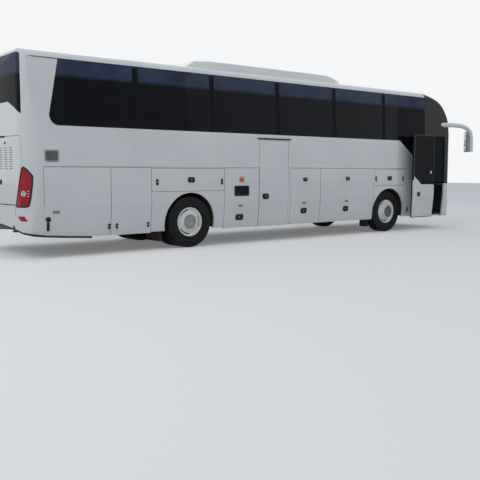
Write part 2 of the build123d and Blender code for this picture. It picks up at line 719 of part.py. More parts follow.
wheel_centre = (4960, 640, 1790)
with BuildPart() as steering_wheel:
    rim_plane = Plane(origin=wheel_centre, x_dir=(0, 1, 0), z_dir=(-0.5, 0, 0.866))
    with Locations(rim_plane.location):
        Box(410, 24, 14)
    with BuildSketch(rim_plane):
        RegularPolygon(45, 12)
    extrude(amount=15, both=True)
    with BuildSketch(rim_plane):
        RegularPolygon(228, 24)
        RegularPolygon(202, 24, mode=Mode.SUBTRACT)
    extrude(amount=13, both=True)
    with BuildSketch(rim_plane):
        RegularPolygon(26, 12)
    extrude(amount=-500)
    add(dashboard.part, mode=Mode.SUBTRACT)
finish(steering_wheel, "steering_wheel")

# Luggage racks along the side walls
with BuildPart() as luggage_racks:
    for side in (-1, 1):
        with BuildSketch(Plane.YZ.offset(-5500)):
            Polygon((side * 780, 3080), (side * 1300, 3010), (side * 1300, 3050), (side * 820, 3115),
                    (side * 800, 3190), (side * 760, 3190), align=None)
        extrude(amount=9500)
    add(inner_space, mode=Mode.INTERSECT)
finish(luggage_racks, "luggage_racks")

# Mirrors on thick bent arms from the front corners: points of the arm's middle line on the left
mirror_arm_r = 58
mirror_arm_points = [(5250, 1150, 2770), (5820, 1360, 2775), (6080, 1465, 2740), (6230, 1530, 2640),
                     (6285, 1558, 2480), (6288, 1560, 2060)]
mirror_head = (6245, 1445)
mirror_head_size = (80, 220)
mirror_head_z = (2050, 2620)
with BuildPart() as mirrors:
    for side in (-1, 1):
        with BuildLine() as arm_path:
            Polyline(*[(x, side * y, z) for x, y, z in mirror_arm_points])
        with BuildSketch(Plane(origin=arm_path.line @ 0, z_dir=arm_path.line % 0)):
            RegularPolygon(mirror_arm_r, 8)
        sweep(path=arm_path.line, transition=Transition.RIGHT)
        with BuildSketch(Plane.XY.offset(mirror_head_z[0])) as head_plan:
            with Locations((mirror_head[0], side * mirror_head[1])):
                Rectangle(*mirror_head_size)
            chamfer(head_plan.vertices(), 22)
        extrude(amount=mirror_head_z[1] - mirror_head_z[0])
    add(outer_space, mode=Mode.SUBTRACT)
finish(mirrors, "mirrors")


# Doors. Each leaf swings on two arms from an upright post and stays parallel to the side
def arm_end(post_x, angle):
    # Pivot of the leaf at an arm angle from the forward direction, turning outwards
    return (post_x + door_arm * cos(radians(angle)), -post_y - door_arm * sin(radians(angle)))


arm_t = 30
elbow_lead = 55
elbow_r = 205
leaf_pin_r = 10
post_foot_z = 366
leaf_depth = 105


def add_arms(post_x, angle, levels, low, high):
    # Post with two bent arms, turned to the given angle
    elbow_angle = radians(elbow_lead - angle)
    elbow = (post_x + elbow_r * cos(elbow_angle), -post_y + elbow_r * sin(elbow_angle))
    rod(post_x, -post_y, (low + high) / 2, post_r, high - low, "Z")
    for z in levels:
        with BuildSketch(Plane.XY.offset(z)) as arm_plan:
            with BuildLine():
                Polyline((post_x, -post_y), elbow, arm_end(post_x, angle))
            trace(line_width=arm_t)
            with Locations(arm_end(post_x, angle)):
                RegularPolygon(arm_t * 0.7, 8)
        extrude(arm_plan.sketch, amount=arm_t)
        bar(*arm_end(post_x, angle), z, leaf_pin_r + 2, 4 * arm_t, "Z", 8, mode=Mode.SUBTRACT)


def add_brackets(post_x, angle, levels):
    # Fork plates and pins on the inside of the leaf, at the ends of the arms
    x, y = arm_end(post_x, angle)
    shift = -door_arm * sin(radians(angle))
    face_y = -half_width + wall + shift
    for z in levels:
        for plate_z in (z - 10, z + arm_t + 2):
            block((x - 20, x + 20), (face_y, y + 18), (plate_z, plate_z + 8))
        bar(x, y, z + arm_t / 2, leaf_pin_r, arm_t + 4, "Z", 8)


front_arm_levels = (700, 2385)
mid_arm_levels = (700, 1980)
front_post_x = front_door_x[0] + 75
mid_post_x = mid_door_x[0] + 75
open_shift = (door_arm * (cos(radians(door_swing)) - 1), -door_arm * sin(radians(door_swing)), 0)

with BuildPart() as front_door_arm:
    add_arms(front_post_x, door_swing, front_arm_levels, post_foot_z, 2440)
finish(front_door_arm, "front_door_arm")

door_glass_x = (front_door_x[0] + 20, front_door_x[1] - 10)
door_glass_z = (1190, front_door_z[1] - 20)
door_glass_outline = [(door_glass_x[0], 1400), (door_glass_x[0] + 170, door_glass_z[0]),
                      (door_glass_x[1], door_glass_z[0]), (door_glass_x[1], door_glass_z[1]),
                      (door_glass_x[0], door_glass_z[1])]
with BuildPart() as closed_glass:
    add(glass_shell.part)
    with BuildSketch(Plane.XZ):
        Polygon(*door_glass_outline, align=None)
    extrude(amount=half_width + 10, mode=Mode.INTERSECT)
with BuildPart() as closed_leaf:
    add(wall_shell.part)
    block(front_door_x, side_range(-1, leaf_depth), front_door_z, mode=Mode.INTERSECT)
    add(closed_glass.part, mode=Mode.SUBTRACT)
    block((front_door_x[0] + 90, front_door_x[1] - 90), (-half_width, -1000), (1260, front_door_z[1] - 90),
          mode=Mode.SUBTRACT)
with BuildPart() as front_door_leaf:
    add(closed_leaf.part.moved(Location(open_shift)))
    add_brackets(front_post_x, door_swing, front_arm_levels)
finish(front_door_leaf, "front_door_leaf")
with BuildPart() as front_door_glass:
    add(closed_glass.part.moved(Location(open_shift)))
finish(front_door_glass, "front_door_glass")

with BuildPart() as mid_door_arm:
    add_arms(mid_post_x, 0, mid_arm_levels, post_foot_z, 2180)
finish(mid_door_arm, "mid_door_arm")

with BuildPart() as mid_door_leaf:
    add(wall_shell.part)
    block(mid_door_x, side_range(-1, leaf_depth), mid_door_z, mode=Mode.INTERSECT)
    add_brackets(mid_post_x, 0, mid_arm_levels)
finish(mid_door_leaf, "mid_door_leaf")
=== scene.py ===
import json
from math import asin, ceil, cos, exp, log, pi, radians, sin, sqrt, tau

import bmesh
import bpy
from mathutils import Matrix, Vector

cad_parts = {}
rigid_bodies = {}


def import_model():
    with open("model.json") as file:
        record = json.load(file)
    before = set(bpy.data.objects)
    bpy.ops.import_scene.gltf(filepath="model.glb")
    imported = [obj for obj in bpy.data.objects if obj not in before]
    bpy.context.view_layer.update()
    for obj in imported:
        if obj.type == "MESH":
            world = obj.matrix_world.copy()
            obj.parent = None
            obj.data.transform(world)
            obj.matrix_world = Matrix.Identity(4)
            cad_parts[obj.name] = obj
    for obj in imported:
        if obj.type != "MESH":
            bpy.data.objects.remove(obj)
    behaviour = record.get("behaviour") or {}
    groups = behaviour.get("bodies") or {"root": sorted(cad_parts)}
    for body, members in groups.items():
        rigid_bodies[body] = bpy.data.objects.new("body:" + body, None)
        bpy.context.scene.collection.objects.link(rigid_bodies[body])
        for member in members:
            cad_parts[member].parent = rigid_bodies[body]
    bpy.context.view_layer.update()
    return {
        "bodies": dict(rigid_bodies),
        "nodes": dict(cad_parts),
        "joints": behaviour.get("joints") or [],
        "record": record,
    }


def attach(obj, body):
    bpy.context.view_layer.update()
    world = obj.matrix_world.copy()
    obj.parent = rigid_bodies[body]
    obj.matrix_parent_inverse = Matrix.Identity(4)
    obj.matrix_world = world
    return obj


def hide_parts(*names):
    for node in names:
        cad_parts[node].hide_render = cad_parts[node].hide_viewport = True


print("loading the frame")
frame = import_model()
nodes = frame["nodes"]


def toLinear(hexColour):
    # sRGB hex to the linear colour that Blender wants
    parts = [int(hexColour[i:i + 2], 16) / 255 for i in (1, 3, 5)]
    return [p / 12.92 if p <= 0.04045 else ((p + 0.055) / 1.055) ** 2.4 for p in parts] + [1.0]


def addNode(tree, kind, values=None, links=None):
    # one node with its settings, and its inputs joined to the given outputs
    node = tree.nodes.new(kind)
    for key, value in (values or {}).items():
        if isinstance(key, int) or key in node.inputs:
            node.inputs[key].default_value = value
        else:
            setattr(node, key, value)
    for key, output in (links or {}).items():
        tree.links.new(output, node.inputs[key])
    return node


finishes = {}
# road film: the height where it's thickest, and its splashes
roadFilm = {"fullZ": 0.25, "scale": 9.0}


def makeFinish(name, base, tint, patch, rough, grain=2, depth=0.1, stretch=(1, 1, 1), spread=(0.35, 0.7),
               texture="ShaderNodeTexNoise", dirt=None, **sockets):
    # base and tint mix in patches of a size in millimetres, rough is the range of roughness,
    # grain and depth are the bump's size and height in millimetres, dirt is its colour, top and strength
    material = bpy.data.materials.new(name)
    material.use_nodes = True
    tree = material.node_tree
    shader = tree.nodes["Principled BSDF"]
    for key, value in sockets.items():
        shader.inputs[key.replace("_", " ")].default_value = value
    place = addNode(tree, "ShaderNodeTexCoord").outputs["Object"]
    turned = addNode(tree, "ShaderNodeMapping", {"Scale": stretch}, {"Vector": place}).outputs[0]
    patches = addNode(tree, "ShaderNodeTexNoise", {"Scale": 1000 / patch, "Detail": 5.0}, {"Vector": turned})
    factor = addNode(tree, "ShaderNodeMapRange", {"From Min": spread[0], "From Max": spread[1]},
                     {"Value": patches.outputs["Fac"]}).outputs[0]
    colour = addNode(tree, "ShaderNodeMix", {"data_type": "RGBA", 6: toLinear(base), 7: toLinear(tint)},
                     {0: factor}).outputs[2]
    roughness = addNode(tree, "ShaderNodeMapRange", {"To Min": rough[0], "To Max": rough[1]},
                        {"Value": patches.outputs["Fac"]}).outputs[0]
    if dirt:
        dirtColour, dirtTop, strength = dirt
        height = addNode(tree, "ShaderNodeSeparateXYZ", links={0: place}).outputs["Z"]
        low = addNode(tree, "ShaderNodeMapRange",
                      {"From Min": dirtTop, "From Max": roadFilm["fullZ"], "To Max": strength,
                       "interpolation_type": "SMOOTHSTEP"}, {"Value": height}).outputs[0]
        splash = addNode(tree, "ShaderNodeTexNoise", {"Scale": roadFilm["scale"], "Detail": 6.0},
                         {"Vector": place})
        amount = addNode(tree, "ShaderNodeMath", {"operation": "MULTIPLY"},
                         {0: low, 1: splash.outputs["Fac"]}).outputs[0]
        colour = addNode(tree, "ShaderNodeMix", {"data_type": "RGBA", 7: toLinear(dirtColour)},
                         {0: amount, 6: colour}).outputs[2]
        roughness = addNode(tree, "ShaderNodeMath", {"operation": "ADD"},
                            {0: roughness, 1: amount}).outputs[0]
    tree.links.new(colour, shader.inputs["Base Color"])
    tree.links.new(roughness, shader.inputs["Roughness"])
    relief = addNode(tree, texture, {"Scale": 1000 / grain}, {"Vector": turned})
    bump = addNode(tree, "ShaderNodeBump", {"Strength": 1.0, "Distance": depth / 1000},
                   {"Height": relief.outputs[0]})
    tree.links.new(bump.outputs[0], shader.inputs["Normal"])
    finishes[name] = material
    return material


print("mixing the finishes")
# two-pack polyurethane paint over steel and GRP: white, wet gloss, faint orange peel, road film at the skirt
makeFinish("coachPaint", "#EDEFF0", "#E4E7E9", 900, (0.16, 0.26), 14, 0.012,
           dirt=("#9A958B", 0.6, 0.35), Coat_Weight=0.7, Coat_Roughness=0.04)
# the same paint in black on the front cap: deep gloss, a little dust in the hollows
makeFinish("blackPaint", "#08090C", "#101218", 700, (0.1, 0.2), 14, 0.012,
           Coat_Weight=0.1, Specular_IOR_Level=0.2, Coat_Roughness=0.03)
# sprayed textured paint on steel under the floor: near black, dull, dusty
makeFinish("chassisPaint", "#17181A", "#3A3733", 160, (0.55, 0.8), 3, 0.25, dirt=("#6B645A", 1.0, 0.6))
# sprayed steel of the hub plates: satin, road dust, light grey at the rear and dark grey in front
makeFinish("hubMetal", "#A3A6A8", "#8C8F92", 50, (0.35, 0.5), 3, 0.05, Metallic=0.25)
makeFinish("darkHubMetal", "#6A6D70", "#595C5F", 50, (0.35, 0.5), 3, 0.05, Metallic=0.25)
# sand-cast iron: grainy dark grey with rust in the low spots
makeFinish("castIron", "#3A3A3B", "#5A3B2A", 60, (0.6, 0.85), 2.5, 0.4, spread=(0.5, 0.75), Metallic=0.55)
# vulcanised tyre rubber: near black, grey dust film
makeFinish("tyreRubber", "#0B0B0E", "#141417", 120, (0.62, 0.85), 2, 0.08, dirt=("#4A4640", 0.6, 0.14),
           Specular_IOR_Level=0.25)
# enamelled steel wheel discs: off white with brake dust
makeFinish("wheelEnamel", "#F2F2EE", "#DCDAD2", 90, (0.3, 0.5), 6, 0.03, spread=(0.45, 0.8), Coat_Weight=0.3)
# moulded ABS, grained: dark grey, low sheen
makeFinish("grainedPlastic", "#2A2C2F", "#303236", 60, (0.42, 0.55), 1.4, 0.06,
           texture="ShaderNodeTexVoronoi")
# ceramic print fired on the panes' edges: blue-black, dull
makeFinish("blackPrint", "#1F212B", "#1A1C25", 60, (0.4, 0.55), 2.0, 0.01, Specular_IOR_Level=0.03)
# glass-filled nylon of latches and grilles: black, faint sheen
makeFinish("blackNylon", "#08090C", "#101115", 40, (0.35, 0.5), 1.2, 0.04, Specular_IOR_Level=0.3)
# extruded EPDM seals: black rubber with a matt bloom
makeFinish("sealRubber", "#111214", "#222324", 30, (0.6, 0.75), 3, 0.05)
# anodised aluminium trim: pale grey, drawn along its length
makeFinish("anodisedTrim", "#A9ADB1", "#9A9EA3", 40, (0.28, 0.4), 1.5, 0.02,
           stretch=(0.05, 1, 1), Metallic=0.9)
# stainless tube of arms and seat frames: bright, brushed round the bar
makeFinish("stainlessSteel", "#C5C7C9", "#B4B6B8", 30, (0.2, 0.34), 1.2, 0.015,
           stretch=(1, 1, 0.08), Metallic=1.0)
# resin-bonded ply with a grit surface: grey brown
makeFinish("floorBoard", "#5B5651", "#4A4642", 220, (0.6, 0.8), 2.5, 0.2, dirt=("#7A7368", 0.6, 0.5))
# ribbed rubber of the steps: black, scuffed grey
makeFinish("stepRubber", "#0C0D0E", "#1A1A1B", 160, (0.55, 0.75), 4, 0.15)
# powder-coated aluminium of meshes and mirror heads: light grey, darker grey and navy
makeFinish("greyPowder", "#A3A8AB", "#989DA1", 80, (0.4, 0.5), 1.5, 0.03)
makeFinish("greyMesh", "#8B9195", "#7E8488", 60, (0.45, 0.6), 1.5, 0.03)
makeFinish("navyMesh", "#0C1322", "#080C17", 60, (0.4, 0.55), 1.5, 0.03, Specular_IOR_Level=0.3)
# hot-dip coated sheet steel of tanks and silencer: dull silver, heat-browned
makeFinish("coatedSteel", "#7D7A75", "#5C5148", 140, (0.4, 0.6), 3, 0.08,
           dirt=("#6B645A", 1.0, 0.5), Metallic=0.7)
# needle-felt carpet of the aisle: dark grey with a fleck
makeFinish("aisleCarpet", "#2C2E33", "#3A3C42", 10, (0.9, 1.0), 2, 0.5, texture="ShaderNodeTexVoronoi",
           Sheen_Weight=0.2)
# laminated ABS of racks and linings: warm light grey
makeFinish("liningPanel", "#C9C8C3", "#BDBCB7", 300, (0.5, 0.6), 1.5, 0.05)
# flat-woven pile cloth of the seats: blue with a darker fleck
makeFinish("seatCloth", "#2B3A66", "#182142", 12, (0.85, 0.95), 1.6, 0.35, texture="ShaderNodeTexVoronoi",
           Sheen_Weight=0.3)
# zinc-plated cast parts of the engine: grey with oil stains
makeFinish("engineMetal", "#5E6062", "#2E2C2A", 90, (0.4, 0.7), 4, 0.5, Metallic=0.6)
# silvered mirror glass
makeFinish("mirrorSilver", "#C8CED2", "#BFC5C9", 200, (0.02, 0.05), 40, 0.001, Metallic=1.0)
# injection-moulded acrylic lenses: red and amber, optics pressed in the back
makeFinish("redLens", "#C00A1C", "#A30818", 40, (0.05, 0.1), 7, 0.25, texture="ShaderNodeTexVoronoi",
           Coat_Weight=0.2, Coat_Roughness=0.02, Specular_IOR_Level=0.25)
makeFinish("amberLens", "#E8901E", "#D57A10", 20, (0.08, 0.15), 5, 0.2, texture="ShaderNodeTexVoronoi",
           Coat_Weight=0.3)
# injection-moulded polypropylene of the filler cap: orange, faded on top
makeFinish("orangePlastic", "#E08048", "#CC6A30", 25, (0.4, 0.55), 1.2, 0.04)
# hard-coated polycarbonate: clear, very smooth
makeFinish("clearLens", "#EEF1F2", "#E8ECEE", 60, (0.02, 0.04), 60, 0.01,
           Transmission_Weight=0.95, IOR=1.58)
# vacuum-metallised reflector bowls: bright silver
makeFinish("lampSilver", "#D5D7DA", "#C8CBCF", 50, (0.08, 0.14), 8, 0.02, Metallic=1.0)


# toughened glass: the height where the bluish band of painted sky reflection begins and is full, waviness, film
# of dust
pane = {"reflectionZ": (3.12, 3.2), "waves": 1.6, "film": 0.06}


def makeGlass(name, body, skyReflection, clear, shine):
    # smooth, tinted in the mass, with a painted sky reflection in a bluish colour under its top edge, broken up
    # by the waviness
    material = bpy.data.materials.new(name)
    material.use_nodes = True
    tree = material.node_tree
    shader = tree.nodes["Principled BSDF"]
    shader.inputs["Transmission Weight"].default_value = clear
    shader.inputs["IOR"].default_value = shine
    place = addNode(tree, "ShaderNodeTexCoord").outputs["Object"]
    height = addNode(tree, "ShaderNodeSeparateXYZ", links={0: place}).outputs["Z"]
    up = addNode(tree, "ShaderNodeMapRange", {"From Min": pane["reflectionZ"][0], "From Max": pane["reflectionZ"][1]},
                 {"Value": height}).outputs[0]
    wander = addNode(tree, "ShaderNodeTexNoise", {"Scale": pane["waves"], "Detail": 3.0}, {"Vector": place})
    paintedReflection = addNode(tree, "ShaderNodeMath", {"operation": "MULTIPLY"},
                  {0: up, 1: wander.outputs["Fac"]}).outputs[0]
    colour = addNode(tree, "ShaderNodeMix", {"data_type": "RGBA", 6: toLinear(body), 7: toLinear(skyReflection)},
                     {0: paintedReflection})
    tree.links.new(colour.outputs[2], shader.inputs["Base Color"])
    film = addNode(tree, "ShaderNodeMapRange", {"To Min": 0.0, "To Max": pane["film"]},
                   {"Value": wander.outputs["Fac"]})
    tree.links.new(film.outputs[0], shader.inputs["Roughness"])
    finishes[name] = material


# the third colour is the painted sky reflection under each glass's top edge
makeGlass("tintedGlass", "#1A1C23", "#64749B", 0.35, 1.15)
makeGlass("screenGlass", "#1D2224", "#1C2226", 0.92, 1.3)

# the slanting line on the front door's leaf where its glass begins: slope, height at x = 0, softness
glassLine = {"slope": 0.161, "height": 1.923, "soft": 0.003}


def makeDoorPaint():
    # the leaf's coach paint, black above the slanting line where its glass begins
    material = makeFinish("doorPaint", "#EDEFF0", "#E4E7E9", 900, (0.16, 0.26), 14, 0.012,
                          Coat_Weight=0.3, Coat_Roughness=0.04)
    tree = material.node_tree
    shader = tree.nodes["Principled BSDF"]
    paint = shader.inputs["Base Color"].links[0].from_socket
    place = addNode(tree, "ShaderNodeTexCoord").outputs["Object"]
    parts = addNode(tree, "ShaderNodeSeparateXYZ", links={0: place}).outputs
    height = addNode(tree, "ShaderNodeMath", {"operation": "MULTIPLY_ADD", 1: glassLine["slope"]},
                     {0: parts["X"], 2: parts["Z"]}).outputs[0]
    above = addNode(tree, "ShaderNodeMapRange",
                    {"From Min": glassLine["height"], "From Max": glassLine["height"] + glassLine["soft"]},
                    {"Value": height}).outputs[0]
    colour = addNode(tree, "ShaderNodeMix", {"data_type": "RGBA", 7: toLinear("#07080A")},
                     {0: above, 6: paint})
    tree.links.new(colour.outputs[2], shader.inputs["Base Color"])


makeDoorPaint()

nodeFinishes = {
    "coachPaint": ["body_side_", "roof", "front_fascia", "rear_fascia", "engine_door", "flap_",
                   "mid_door_leaf", "mirrors"],
    "doorPaint": ["front_door_leaf"],
    "blackPaint": ["front_cap"],
    "tintedGlass": ["side_glass_", "rear_window", "front_door_glass"],
    "screenGlass": ["windscreen"],
    "clearLens": ["headlamps"],
    "redLens": ["tail_lamps"],
    "floorBoard": ["deck", "luggage_bay"],
    "stepRubber": ["stairs"],
    "chassisPaint": ["chassis", "wheel_housings", "rim_"],
    "castIron": ["front_axle_beam", "rear_axle_housing", "knuckle_"],
    "engineMetal": ["engine_block"],
    "tyreRubber": ["tyre_"],
    "seatCloth": ["passenger_seats", "driver_seat"],
    "grainedPlastic": ["dashboard", "steering_wheel"],
    "blackNylon": ["side_vents", "filler_grille"],
    "liningPanel": ["luggage_racks"],
    "stainlessSteel": ["front_door_arm", "mid_door_arm"],
}
for finish, starts in nodeFinishes.items():
    for nodeName, node in nodes.items():
        if nodeName.startswith(tuple(starts)):
            node.data.materials.clear()
            node.data.materials.append(finishes[finish])


# modelling helpers
def addBlock(shape, one, two):
    # a box between two opposite corners
    made = bmesh.ops.create_cube(shape, size=1)["verts"]
    one, two = Vector(one), Vector(two)
    bmesh.ops.scale(shape, vec=[abs(gap) for gap in two - one], verts=made)
    bmesh.ops.translate(shape, vec=(one + two) / 2, verts=made)


def addDisc(shape, centre, radius, length, axis="Y", steps=32, tip=None):
    # a round bar or cone centred on a point, along an axis
    turn = {"X": Matrix.Rotation(pi / 2, 4, "Y"), "Y": Matrix.Rotation(-pi / 2, 4, "X"), "Z": Matrix()}[axis]
    bmesh.ops.create_cone(shape, cap_ends=True, segments=steps, radius1=radius,
                          radius2=radius if tip is None else tip, depth=length,
                          matrix=Matrix.Translation(centre) @ turn)


def addLathe(shape, profile, centre, steps=64):
    # spins points of (radius, place along Y) round a wheel's axle
    made = [shape.verts.new((centre[0] + r, centre[1] + y, centre[2])) for r, y in profile]
    edges = [shape.edges.new(pair) for pair in zip(made, made[1:])]
    bmesh.ops.spin(shape, geom=made + edges, cent=centre, axis=(0, 1, 0), angle=tau, steps=steps,
                   use_merge=True, use_duplicate=False)


def addPrism(shape, outline, start, run):
    # an outline of (a, b) pairs on the plane square to an axis, run along that axis
    axis = "XYZ".index(start[0])
    points = []
    for a, b in outline:
        point = [a, b]
        point.insert(axis, start[1])
        points.append(shape.verts.new(point))
    face = shape.faces.new(points)
    grown = bmesh.ops.extrude_face_region(shape, geom=[face])["geom"]
    shift = [0, 0, 0]
    shift[axis] = run
    bmesh.ops.translate(shape, vec=shift, verts=[v for v in grown if isinstance(v, bmesh.types.BMVert)])


def roundPath(points, bend, cuts=4):
    # a bent bar's middle line: each corner becomes a curve that starts a bend's length before it
    points = [Vector(p) for p in points]
    path = [points[0]]
    for before, corner, after in zip(points, points[1:], points[2:]):
        start = corner + (before - corner).normalized() * min(bend, (before - corner).length / 2)
        end = corner + (after - corner).normalized() * min(bend, (after - corner).length / 2)
        for i in range(cuts + 1):
            t = i / cuts
            path.append(start * (1 - t) ** 2 + corner * 2 * t * (1 - t) + end * t ** 2)
    return path + [points[-1]]


def addTube(shape, path, radius, steps=12, squash=1.0):
    # a round bar along a middle line, its section carried along without twist and closed at both ends,
    # radius is one number or one for each point
    path = [Vector(p) for p in path]
    radii = radius if isinstance(radius, list) else [radius] * len(path)
    across = (path[1] - path[0]).orthogonal().normalized()
    rings = []
    for i, point in enumerate(path):
        ahead = (path[min(i + 1, len(path) - 1)] - path[max(i - 1, 0)]).normalized()
        across = (across - ahead * across.dot(ahead)).normalized()
        upward = ahead.cross(across)
        rings.append([shape.verts.new(point + radii[i] * (across * cos(tau * k / steps)
                                                          + upward * squash * sin(tau * k / steps)))
                      for k in range(steps)])
    for low, high in zip(rings, rings[1:]):
        for k in range(steps):
            shape.faces.new((low[k], low[(k + 1) % steps], high[(k + 1) % steps], high[k]))
    shape.faces.new(rings[0][::-1])
    shape.faces.new(rings[-1])


def addRing(shape, frame, radius, thick, steps, height=0.0, sides=6):
    # a round bar bent to a ring, level in its frame
    addTube(shape, [frame @ Vector((radius * cos(tau * k / steps), radius * sin(tau * k / steps), height))
                    for k in range(steps + 1)], thick, sides)


def roundedBox(a, b, w, h, corner, cuts=4):
    # outline of a rectangle with round corners, centred on (a, b)
    points = []
    for k, (ca, cb) in enumerate([(1, 1), (-1, 1), (-1, -1), (1, -1)]):
        middle = (a + ca * (w / 2 - corner), b + cb * (h / 2 - corner))
        for i in range(cuts + 1):
            turn = pi / 2 * (k + i / cuts)
            points.append((middle[0] + corner * cos(turn), middle[1] + corner * sin(turn)))
    return points


def circle(a, b, radius, steps=32):
    # outline of a circle
    return [(a + radius * cos(tau * k / steps), b + radius * sin(tau * k / steps)) for k in range(steps)]


def oblong(a0, b0, a1, b1):
    # outline of a rectangle between two corners
    return [(a0, b0), (a1, b0), (a1, b1), (a0, b1)]


# the solids' skin that fittings lie on: it tucks in at the skirt and leans in above the sill
skin = {"half": 1.275, "tuckZ": 0.9, "tuck": 0.06 / 0.58, "leanZ": 2.3, "lean": 0.06 / 1.146}
# a wide bow in plan with round corners, tucked in below too
tail = {"bowR": 13.576, "bowX": 7.276, "splitY": 1.0254, "cornerR": 0.27, "cornerX": -5.992,
        "cornerY": 1.005, "endX": -6.3, "tuck": 0.1294}
# the tail's corner seen square on, at 45 degrees: how distances across that view become distances in Y
cornerView = {"offset": 0.022, "reach": 0.3818, "splitTurn": 0.076, "firstY": 0.95, "sum": 1.335,
              "bow": 27.15}
# the front: leaning out up to the screen's foot and back above it, bowed in plan with round corners
nose = {"footX": 5.76, "footZ": 0.45, "rise": 0.0236, "sillX": 5.775, "sillZ": 1.085, "rake": 0.0774,
        "splitY": 1.138, "bow": 36.17, "cornerR": 0.13, "cornerX": 5.611, "cornerY": 1.145}


def bodyY(z):
    # half width of the skin at a height
    if z < skin["tuckZ"]:
        return skin["half"] - skin["tuck"] * (skin["tuckZ"] - z)
    return skin["half"] - skin["lean"] * max(0.0, z - skin["leanZ"])


def tailPoint(y, z, depth):
    # a place on the bowed tail and its round corners, depth is outwards
    if abs(y) < tail["splitY"]:
        radius, middle, start = tail["bowR"], tail["bowX"], 0.0
        turn = abs(y) / radius
    else:
        radius, middle, start = tail["cornerR"], tail["cornerX"], tail["cornerY"]
        turn = asin(min((abs(y) - start) / radius, 1.0))
    x = middle - (radius + depth) * cos(turn)
    if z < skin["tuckZ"]:
        x = max(x, tail["endX"] + tail["tuck"] * (skin["tuckZ"] - z) - depth)
    return (x, (-1 if y < 0 else 1) * (start + (radius + depth) * sin(turn)), z)


def cornerY(across):
    # distance off the middle of a place on the tail's corner, from its distance across the corner view
    reach = across * sqrt(2)
    turn = pi / 4 + asin((reach + cornerView["offset"]) / cornerView["reach"])
    if turn > cornerView["splitTurn"]:
        return tail["cornerY"] + tail["cornerR"] * sin(turn)
    y = cornerView["firstY"]
    for step in range(6):
        y = reach + cornerView["sum"] - y ** 2 / cornerView["bow"]
    return y


def nosePoint(y, z, depth):
    # a place on the bowed front below the roof's curve, depth is outwards
    if z < nose["sillZ"]:
        lean = nose["footX"] + nose["rise"] * (z - nose["footZ"])
    else:
        lean = nose["sillX"] - nose["rake"] * (z - nose["sillZ"])
    if abs(y) < nose["splitY"]:
        bow = nose["sillX"] - y ** 2 / nose["bow"]
    else:
        turn = asin(min((abs(y) - nose["cornerY"]) / nose["cornerR"], 1.0))
        bow = nose["cornerX"] + nose["cornerR"] * cos(turn)
    return (min(lean, bow) + depth, y, z)


# each gives the function that puts a place of an outline on one side's skin, tail, corner or front
def sidePlace(side, shift=(0, 0)):
    return lambda x, z, depth: (x + shift[0], side * (bodyY(z) + depth) + shift[1], z)


def tailPlace(side):
    return lambda y, z, depth: tailPoint(side * y, z, depth)


def cornerPlace(side):
    return lambda across, z, depth: tailPoint(side * cornerY(across), z, depth)


def nosePlace(side):
    return lambda y, z, depth: nosePoint(side * y, z, depth)


def refine(outline, step):
    # the outline with no edge longer than the step, so that it can follow a curve
    points = []
    for start, end in zip(outline, outline[1:] + outline[:1]):
        count = max(1, ceil((Vector(end) - Vector(start)).length / step))
        points += [tuple(Vector(start).lerp(Vector(end), i / count)) for i in range(count)]
    return points


def addSheet(shape, place, outline, low, high, hole=None):
    # a thin plate on a surface, whose points place(a, b, depth) gives; the hole has as many as the outline
    def layer(points, depth):
        return [shape.verts.new(place(a, b, depth)) for a, b in points]
    outer = [layer(outline, low), layer(outline, high)]
    count = len(outline)
    for k in range(count):
        n = (k + 1) % count
        shape.faces.new((outer[0][k], outer[0][n], outer[1][n], outer[1][k]))
    if not hole:
        middle = (sum(a for a, b in outline) / count, sum(b for a, b in outline) / count)
        for verts, depth in zip(outer, (low, high)):
            centre = shape.verts.new(place(*middle, depth))
            for k in range(count):
                shape.faces.new((verts[k], verts[(k + 1) % count], centre))
        return
    inner = [layer(hole, low), layer(hole, high)]
    for k in range(count):
        n = (k + 1) % count
        shape.faces.new((inner[1][k], inner[1][n], inner[0][n], inner[0][k]))
        shape.faces.new((outer[1][k], outer[1][n], inner[1][n], inner[1][k]))
        shape.faces.new((outer[0][n], outer[0][k], inner[0][k], inner[0][n]))


def addPlate(shape, side, outline, low, high, hole=None, shift=(0, 0)):
    # a plate that follows the side's skin, from an outline in X and Z and its depths off the skin
    addSheet(shape, sidePlace(side, shift), outline, low, high, hole)


def addPatch(shape, place, corners, cuts, low, high):
    # a thin plate between four corners, divided so that it follows a curved surface
    grid = []
    for i in range(cuts + 1):
        start = Vector(corners[0]).lerp(Vector(corners[3]), i / cuts)
        end = Vector(corners[1]).lerp(Vector(corners[2]), i / cuts)
        grid.append([tuple(start.lerp(end, j / cuts)) for j in range(cuts + 1)])
    layers = [[[shape.verts.new(place(a, b, depth)) for a, b in row] for row in grid]
              for depth in (low, high)]
    for rows in layers:
        for one, two in zip(rows, rows[1:]):
            for j in range(cuts):
                shape.faces.new((one[j], one[j + 1], two[j + 1], two[j]))
    bottom, top = layers
    edge = [(0, j) for j in range(cuts)] + [(i, cuts) for i in range(cuts)]
    edge += [(cuts, cuts - j) for j in range(cuts)] + [(cuts - i, 0) for i in range(cuts)]
    for (i, j), (m, n) in zip(edge, edge[1:] + edge[:1]):
        shape.faces.new((bottom[i][j], bottom[m][n], top[m][n], top[i][j]))


def addLattice(shape, place, x, z, pitch, width, low, high, corner=0.0):
    # crossed bars that fill a window with cut corners, limits x and z
    for (near, far), (foot, top), upright in ((x, z, True), (z, x, False)):
        for k in range(1, int((far - near) / pitch)):
            at = near + k * pitch
            cut = max(0.0, corner - min(at - near, far - at))
            if upright:
                outline = oblong(at - width / 2, foot + cut, at + width / 2, top - cut)
            else:
                outline = oblong(foot + cut, at - width / 2, top - cut, at + width / 2)
            addSheet(shape, place, outline, low, high)


